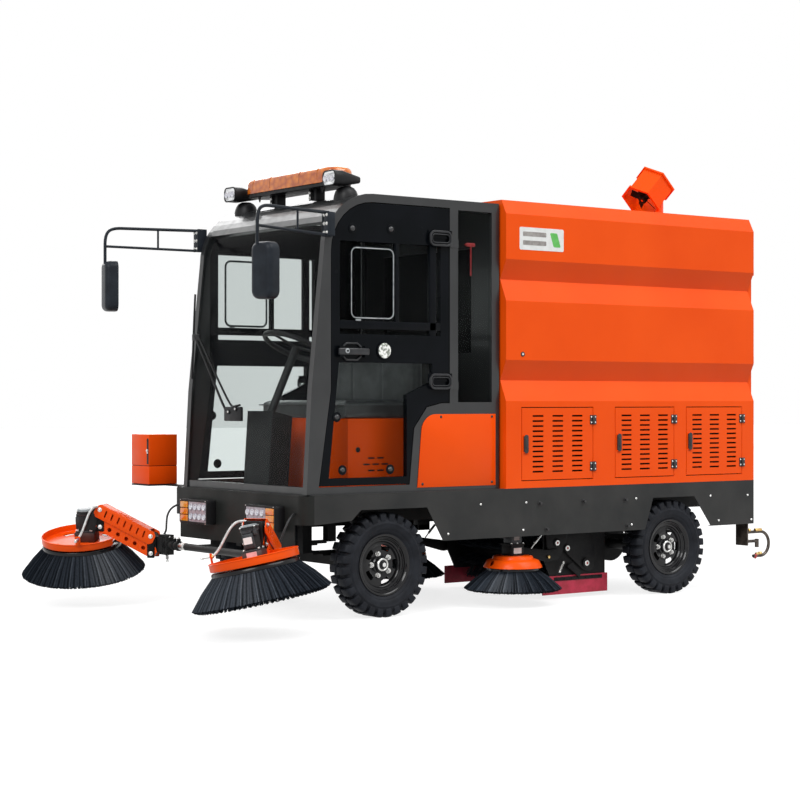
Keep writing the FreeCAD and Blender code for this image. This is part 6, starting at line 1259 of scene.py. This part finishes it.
for x, z in ((-563, 215), (-536, 165)):
    add(link, hex_nut(9, 9), at(x, 493, z) @ ALONG_Y, finish=1)
add(link, block((-893, 473.5, 106), (-512, 478, 127), 1))
for i in range(7):
    add(link, hex_nut(5, 4), at(-535 - 56 * i, 478, 116) @ ALONG_Y)
both_sides(link)
piece("brush_linkage", link, "chassis", [under_black, zinc, brass, signal_red])

# %% [markdown]
# ## Side covers
#
# The orange cover below each rear cab window has one corner rounded to a wide
# curve. It is a flat outline, its curve a few points on a quarter circle.

# %% Side covers
corner = [(604 - 100 * (1 - math.cos(math.radians(a))), 1000 + 100 * math.sin(math.radians(a)))
          for a in range(0, 91, 10)]
cover = slab([(631, 697), *corner, (78, 1100), (78, 697)], 4.2, 0, 1.2)
cover.transform(at(0, 649.4, 0) @ ON_SIDE)
both_sides(cover)
piece("side_covers", cover, "chassis", orange, ["cab_side_panels"])

# %% [markdown]
# ## Fasteners along the skirts and panels
#
# The skirts hang on small domed bolts, some plated and some black, with a butt
# joint in the sheet. Places are read along the side, as distance ahead and height.

# %% Skirt bolts
skirt_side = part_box("side_skirts")[1][1] * 1000
PLATED = [(219, 594), (-113, 594), (-91, 438), (450, 438), (-972, 591), (-935, 437), (-1599, 588), (-1929, 583),
          (-1672, 433), (-1962, 429)]
DARK = [(-211, 586), (-548, 587), (-264, 435), (-880, 586), (-896, 429)]


def dome(radius, height):
    """A domed bolt head along Z."""
    return turned([(0, height), (radius * 0.5, height * 0.86), (radius * 0.85, height * 0.5), (radius, 0), (0, 0)], 20)


fasteners = bmesh.new()
for x, z in PLATED:
    add(fasteners, dome(7, 4.5), at(x, skirt_side, z) @ ALONG_Y, finish=1)
for x, z in DARK:
    add(fasteners, drum(13, 3, 24, soften=1), at(x, skirt_side, z) @ ALONG_Y)
    add(fasteners, drum(9, 16, 6, soften=1.5), at(x, skirt_side + 3, z) @ ALONG_Y)
add(fasteners, block((-158.2, skirt_side - 0.2, 404), (-156.8, skirt_side + 0.4, 606)))
for x, z in ((468, 1085), (597, 716), (105, 1085), (105, 716)):
    add(fasteners, dome(8, 5), at(x, 649, z) @ ALONG_Y)
add(fasteners, drum(14, 3, 28, soften=1), at(-86, 691.5, 1439) @ ALONG_Y)
add(fasteners, drum(7, 4.5, 20, soften=1), at(-86, 691.5, 1439) @ ALONG_Y, finish=1)
both_sides(fasteners)
piece("side_fasteners", fasteners, "chassis", [seal_rubber, zinc])

# %% [markdown]
# ## Vent door hardware
#
# Each slotted door has a black bar handle at its leading edge and two black hinges
# at its trailing edge, every leaf held by two bright screws. The leaf on the door
# rides on the door and the fixed leaf on the body, so the hinge opens as a real
# one does.

# %% Vent hardware
VENT_EDGES = {"front": (-82, -622), "middle": (-804, -1283), "rear": (-1393, -1874)}
fixed = bmesh.new()
for place, (lead, trail) in VENT_EDGES.items():
    axis = trail - 2.5
    moving = slab(box_outline(-16, 16, -52.5, 52.5), 9.5, 12, 2.5)
    moving.transform(at(lead - 26, 692, 927) @ turn(180, "Z") @ ON_SIDE)
    add(moving, block((lead - 34, 698, 900), (lead - 18, 706, 958), 4, 3))
    for z in (791, 1063):
        add(moving, block((axis + 1, 691, z - 27), (axis + 24, 695.5, z + 27), 1.5))
        add(moving, drum(7.5, 54, 24, soften=1), at(axis, 697.5, z - 27))
        add(fixed, block((axis - 24, 691, z - 27), (axis - 1, 695.5, z + 27), 1.5))
        for dz in (-16, 16):
            add(moving, dome(5, 3.5), at(axis + 15, 695.5, z + dz) @ ALONG_Y, finish=1)
            add(fixed, dome(5, 3.5), at(axis - 15, 695.5, z + dz) @ ALONG_Y, finish=1)
    pair("vent_fittings_" + place, moving, "vent_door_" + place, "black_paint", [seal_rubber, zinc])
both_sides(fixed)
piece("vent_hinge_leaves", fixed, "chassis", [seal_rubber, zinc])

# %% [markdown]
# ## Cab door fittings
#
# The door leaf carries a sliding pane in a bright frame, a grab handle on a pressed
# plate, a round reflector, two hinges bent from tube and domed bolts. Black bars
# divide the upper light. All ride on the door.

# %% Door fittings
door = add(bmesh.new(), block((465, 616, 1560), (1144, 642.6, 1604), 2))
add(door, block((752, 616, 1600), (776, 642.6, 2030), 2))
add(door, block((498, 616, 1530), (541, 642.6, 2030), 2))
add(door, frame_bar(box_outline(789, 1074, 1616, 1998), 6, 5, 36, 1.5), at(0, 647.6, 0) @ ON_SIDE, finish=2)
add(door, frame_bar(box_outline(783, 1080, 1610, 2004), 6, 4, 40, 1), at(0, 647, 0) @ ON_SIDE)
add(door, block((1012, 642, 1602), (1044, 652, 1612), 2), finish=2)
for z in (2071, 1280):
    add(door, frame_bar(box_outline(400, 556, z - 44, z + 44), 12, 12, 36, 3), at(0, 666, 0) @ ON_SIDE, finish=3)
    add(door, frame_bar(box_outline(412, 540, z - 26, z + 26), 6, 9, 22, 2), at(0, 663, 0) @ ON_SIDE, finish=3)
eight_sided = [(1004, 1462), (1034, 1486), (1110, 1486), (1138, 1462), (1138, 1414), (1110, 1388), (1034, 1388),
               (1004, 1414)]
add(door, frame_bar(eight_sided, 9, 10, 8, 3), at(0, 655, 0) @ ON_SIDE, finish=3)
add(door, block((968, 652, 1418), (1166, 673, 1456), 8, 3), finish=3)
add(door, drum(14, 6, 28, soften=2), at(1116, 671, 1440) @ ALONG_Y, finish=2)
add(door, drum(6, 8, 6, soften=1), at(1116, 672, 1440) @ ALONG_Y)
glass = turned([(0, 12), (20, 11.4), (38, 9), (45.5, 5), (46.5, 0), (0, 0)], 56)
add(door, glass, at(854, 643.5, 1445) @ ALONG_Y, finish=4)
add(door, turned([(46, 0), (46, 6), (50, 6), (51, 4), (51, 0)], 56, closed=True), at(854, 643.5, 1445) @ ALONG_Y)
for x, z in ((1063, 2097), (808, 2106), (1165, 1087), (1129, 804), (814, 802)):
    add(door, drum(27, 3, 32, soften=1), at(x, 643, z) @ ALONG_Y)
    add(door, dome(16, 11), at(x, 645, z) @ ALONG_Y, finish=5)
chrome_line = new_finish("bright_window_frame", (0.30, 0.32, 0.33), 0.3, metallic=0.7)
tone(chrome_line, 30, (0.22, 0.24, 0.25), (0.40, 0.42, 0.43))
handle_black = new_finish("handle_black", (0.014, 0.015, 0.018), 0.28, coat=0.2, specular=0.3)
tone(handle_black, 25, (0.011, 0.012, 0.014), (0.020, 0.021, 0.024))
reflector = new_finish("prism_reflector", (0.62, 0.66, 0.60), 0.15, metallic=0.6)
tone(reflector, 70, (0.22, 0.24, 0.20), (0.95, 0.96, 0.92), 0.42, 0.58)
relief(reflector, 260, 0.5, 0.001)
bolt_black = new_finish("black_bolt", (0.022, 0.023, 0.025), 0.22, specular=0.5)
sheen_change(bolt_black, 60, 0.16, 0.34)
pair("door_fittings", door, "cab_door", "black_paint",
     [door_black, zinc, chrome_line, handle_black, reflector, bolt_black])

# %% [markdown]
# ## Windscreen wiper
#
# Two thin arms run side by side from a pair of spindles on the scuttle to the blade
# across the glass. Round bars along lines that lean back with the glass make them.

# %% Wiper
wiper = pipe([(1334, -90, 1128), (1338, -150, 1112), (1337, -200, 1105), (1334, -330, 1262), (1330, -560, 1545)], 7)
add(wiper, pipe([(1334, -60, 1150), (1338, -110, 1142), (1338, -150, 1140), (1334, -330, 1330), (1331, -520, 1545)], 6))
add(wiper, block((1324, -222, 1060), (1342, -40, 1140), 6))
for y, z in ((-90, 1128), (-165, 1112)):
    add(wiper, drum(13, 8, 24, soften=2), at(1340, y, z) @ ALONG_X)
    add(wiper, drum(7, 12, 6, soften=1), at(1340, y, z) @ ALONG_X, finish=1)
add(wiper, pipe([(1327, -600, 1300), (1327, -585, 1560), (1323, -570, 1790)], 6))
add(wiper, block((1318, -592, 1520), (1334, -510, 1560), 5))
piece("windscreen_wiper", wiper, "chassis", [box_black, zinc])

# %% [markdown]
# ## Label plate on the body
#
# A white sheet label with a plain green band sits high on each side, its text left
# off. It is a slab a millimetre thick with rounded corners.

# %% Body label
plate = slab(box_outline(-395, -63, 2034, 2163), 1.2, 10)
plate.transform(at(0, 692.6, 0) @ ON_SIDE)
PRINTED = at(0, 693.2, 0) @ ON_SIDE
add(plate, slab([(-372, 2058), (-318, 2058), (-290, 2139), (-344, 2139)], 0.8, 8), PRINTED, finish=1)
for low in (2062, 2112):
    add(plate, slab(box_outline(-262, -88, low, low + 26), 0.8, 5), PRINTED, finish=2)
both_sides(plate)
piece("body_label", plate, "chassis", [label_white, label_green, label_grey])

# %% [markdown]
# ## Rear spray pipes
#
# The pipes behind the machine are dark tube with brass unions, a tap and a red
# cap. The unions are short six-sided and round collars threaded on the tube.

# %% Pipe fittings
unions = bmesh.new()
for x in (-1995, -2030):
    add(unions, drum(12, 16, 6, soften=1.5), at(x, 600, 353) @ turn(-90, "Y"))
add(unions, drum(11, 52, 24, soften=2), at(-2098, 600, 351) @ turn(-90, "Y"))
add(unions, drum(12.5, 12, 6, soften=1), at(-2092, 600, 351) @ turn(-90, "Y"))
add(unions, drum(11, 20, 6, soften=1.5), at(-2150, 600, 203) @ ALONG_X)
add(unions, drum(9, 26, 20, soften=1), at(-2128, 600, 200) @ ALONG_X)
add(unions, drum(12, 26, 20, soften=3), at(-2101, 600, 196) @ turn(150, "Y"), finish=1)
both_sides(unions)
piece("pipe_unions", unions, "chassis", [brass, signal_red])

# %% [markdown]
# ## Bench seat
#
# The driver's bench is one long cushion and one back, both foam under a taut
# leatherette. A closed box with rounded edges is remeshed into even small quads and
# then blown up a little by the cloth solver, which crowns the faces and pulls the
# edges in as stuffing does. The underside is pinned where it rests. Sewn channels
# and piping come after it, because a remesh would smooth them away.


# %% Cushion helper
GRID, PRESSURE, CLOTH_STEPS = 0.009, 4.0, 20


def swell(name, low, high, pinned, reach):
    """A padded block in millimetres: remeshed, swollen by cloth pressure and returned as a shape in millimetres."""
    shape = block(low, high, 16, 3)
    bmesh.ops.scale(shape, vec=(0.001, 0.001, 0.001), verts=shape.verts)
    pad = bpy.data.objects.new(name, bpy.data.meshes.new(name))
    shape.to_mesh(pad.data)
    shape.free()
    bpy.context.scene.collection.objects.link(pad)
    even = pad.modifiers.new("even", "REMESH")
    even.mode, even.voxel_size = "VOXEL", GRID
    bpy.context.view_layer.update()
    base = bmesh.new()
    base.from_object(pad, bpy.context.evaluated_depsgraph_get())
    pad.modifiers.remove(even)
    base.to_mesh(pad.data)
    held = pad.vertex_groups.new(name="held")
    held.add([v.index for v in pad.data.vertices if pinned(v.co * 1000)], 1.0, "REPLACE")
    cloth = pad.modifiers.new("cloth", "CLOTH")
    cloth.settings.vertex_group_mass = "held"
    cloth.settings.use_pressure, cloth.settings.uniform_pressure_force = True, PRESSURE
    cloth.settings.effector_weights.gravity = 0
    cloth.settings.quality = 6
    scene = bpy.context.scene
    for step in range(1, CLOTH_STEPS + 1):
        scene.frame_set(step)
    blown = pad.evaluated_get(bpy.context.evaluated_depsgraph_get()).to_mesh()
    base.verts.ensure_lookup_table()
    for vert, moved in zip(base.verts, blown.vertices):
        shift = moved.co - vert.co
        vert.co += shift * min(1.0, reach * 0.001 / max(shift.length, 1e-9))
    scene.frame_set(1)
    data = pad.data
    bpy.data.objects.remove(pad)
    bpy.data.meshes.remove(data)
    bmesh.ops.scale(base, vec=(1000, 1000, 1000), verts=base.verts)
    return base


def sew(shape, lines, face_axis, face_at, depth=5.0, width=11.0):
    """Presses sewn channels across Y lines into the face of a pad that looks along one axis."""
    for vert in shape.verts:
        near = min(abs(vert.co.y - y) for y in lines)
        if near < width and vert.co[face_axis] > face_at:
            vert.co[face_axis] -= depth * (0.5 + 0.5 * math.cos(math.pi * near / width))
    return shape


print("cushion helpers ready")

# %% Bench
SEAMS = (-144, 144)
cushion = swell("cushion", (516, -432, 1077), (964, 432, 1168), lambda co: co.z < 1084, 9)
sew(cushion, SEAMS, 2, 1120)
add(cushion, pipe([(970, -436, 1150), (971, -200, 1151), (971, 200, 1151), (970, 436, 1150)], 4))
piece("bench_cushion", cushion, "chassis", seat_cloth, ["seat"])

back = swell("back", (427, -432, 1098), (502, 432, 1494), lambda co: co.x < 434, 8)
sew(back, SEAMS, 0, 470)
piece("bench_back", back, "chassis", seat_cloth, ["seat"])

# %% [markdown]
# ## Slots in the bench box
#
# Rows of short slots air the electrics under the bench, beside one round opening.
# They are not cut open: thin black inlays with round ends on the box's side faces, and a black disc for the round
# opening, paint the shade inside them.

# %% Bench box slots
# the slots are black inlays, not openings: painted shade inside each slot
slot_shades = bmesh.new()
for row, (count, shift) in enumerate(((2, 30), (3, 0), (2, 30))):
    for i in range(count):
        x, z = 700 + shift + 62 * i, 786 + 34 * row
        add(slot_shades, slab(box_outline(x, x + 46, z, z + 9), 1.2, 4.4), at(0, 470.9, 0) @ ON_SIDE)
add(slot_shades, drum(15, 1.2, 28), at(905, 469.8, 905) @ ALONG_Y)
both_sides(slot_shades)
piece("seat_box_slots", slot_shades, "chassis", under_black)

# %% [markdown]
# A small red emergency hammer hangs inside the cab on the left. Two blocks make
# its handle and head, and a short turned cone its point.

# %% Window hammer
hammer = block((221, 604, 1876), (229, 611, 2060), 3)
add(hammer, block((196, 602, 2040), (256, 613, 2062), 4))
add(hammer, turned([(0, 18), (6, 6), (8, 0), (0, 0)], 16), at(256, 607.5, 2051) @ ALONG_X)
piece("window_hammer", hammer, "chassis", signal_red)

# %% [markdown]
# ## Black sheets as painted shade
#
# Behind the slotted doors the batteries sit in a bay, and the cab's back window
# looks onto the space behind the cab. Thin black sheets close these views as
# painted shade, so that no daylight shows through the slots or past the seat.

# %% Painted shade sheets
# black sheets painted as the shade inside the battery bays and behind the cab
shade_sheets = block((-1900, 632, 700), (-60, 638, 1150), 1)
both_sides(shade_sheets)
add(shade_sheets, block((40, -600, 1110), (47, 600, 2250), 1))
add(shade_sheets, block((106, -632, 1180), (300, -628, 2230), 1))
piece("dark_liners", shade_sheets, "chassis", under_black)

# %% [markdown]
# ## Rear door hardware
#
# Each rear door is locked by a plated rod that turns in four guides and carries a
# flat handle, and a rubber seal closes the joint between the doors.

# %% Rear locks
lock = bmesh.new()
add(lock, drum(11, 1390, 24, soften=1), at(-2038, 80, 756))
for z in (800, 1180, 1700, 2090):
    add(lock, block((-2052, 60, z - 18), (-2017, 100, z + 18), 4), finish=1)
    for y in (66, 94):
        add(lock, dome(5, 3), at(-2052, y, z) @ turn(-90, "Y"))
add(lock, block((-2064, 74, 1180), (-2052, 92, 1360), 4, 3), finish=1)
add(lock, block((-2060, 86, 1330), (-2050, 190, 1356), 4, 3), finish=1)
add(lock, block((-2019, 3, 722), (-2013, 16, 2184), 2), finish=2)
for z in (900, 1450, 2000):
    for y in (595, 620):
        for dz in (-24, 24):
            add(lock, dome(5, 3), at(-2016.5, y, z + dz) @ turn(-90, "Y"))
pair("rear_door_locks", lock, "rear_door", "pipe_steel", [zinc, handle_black, seal_rubber])
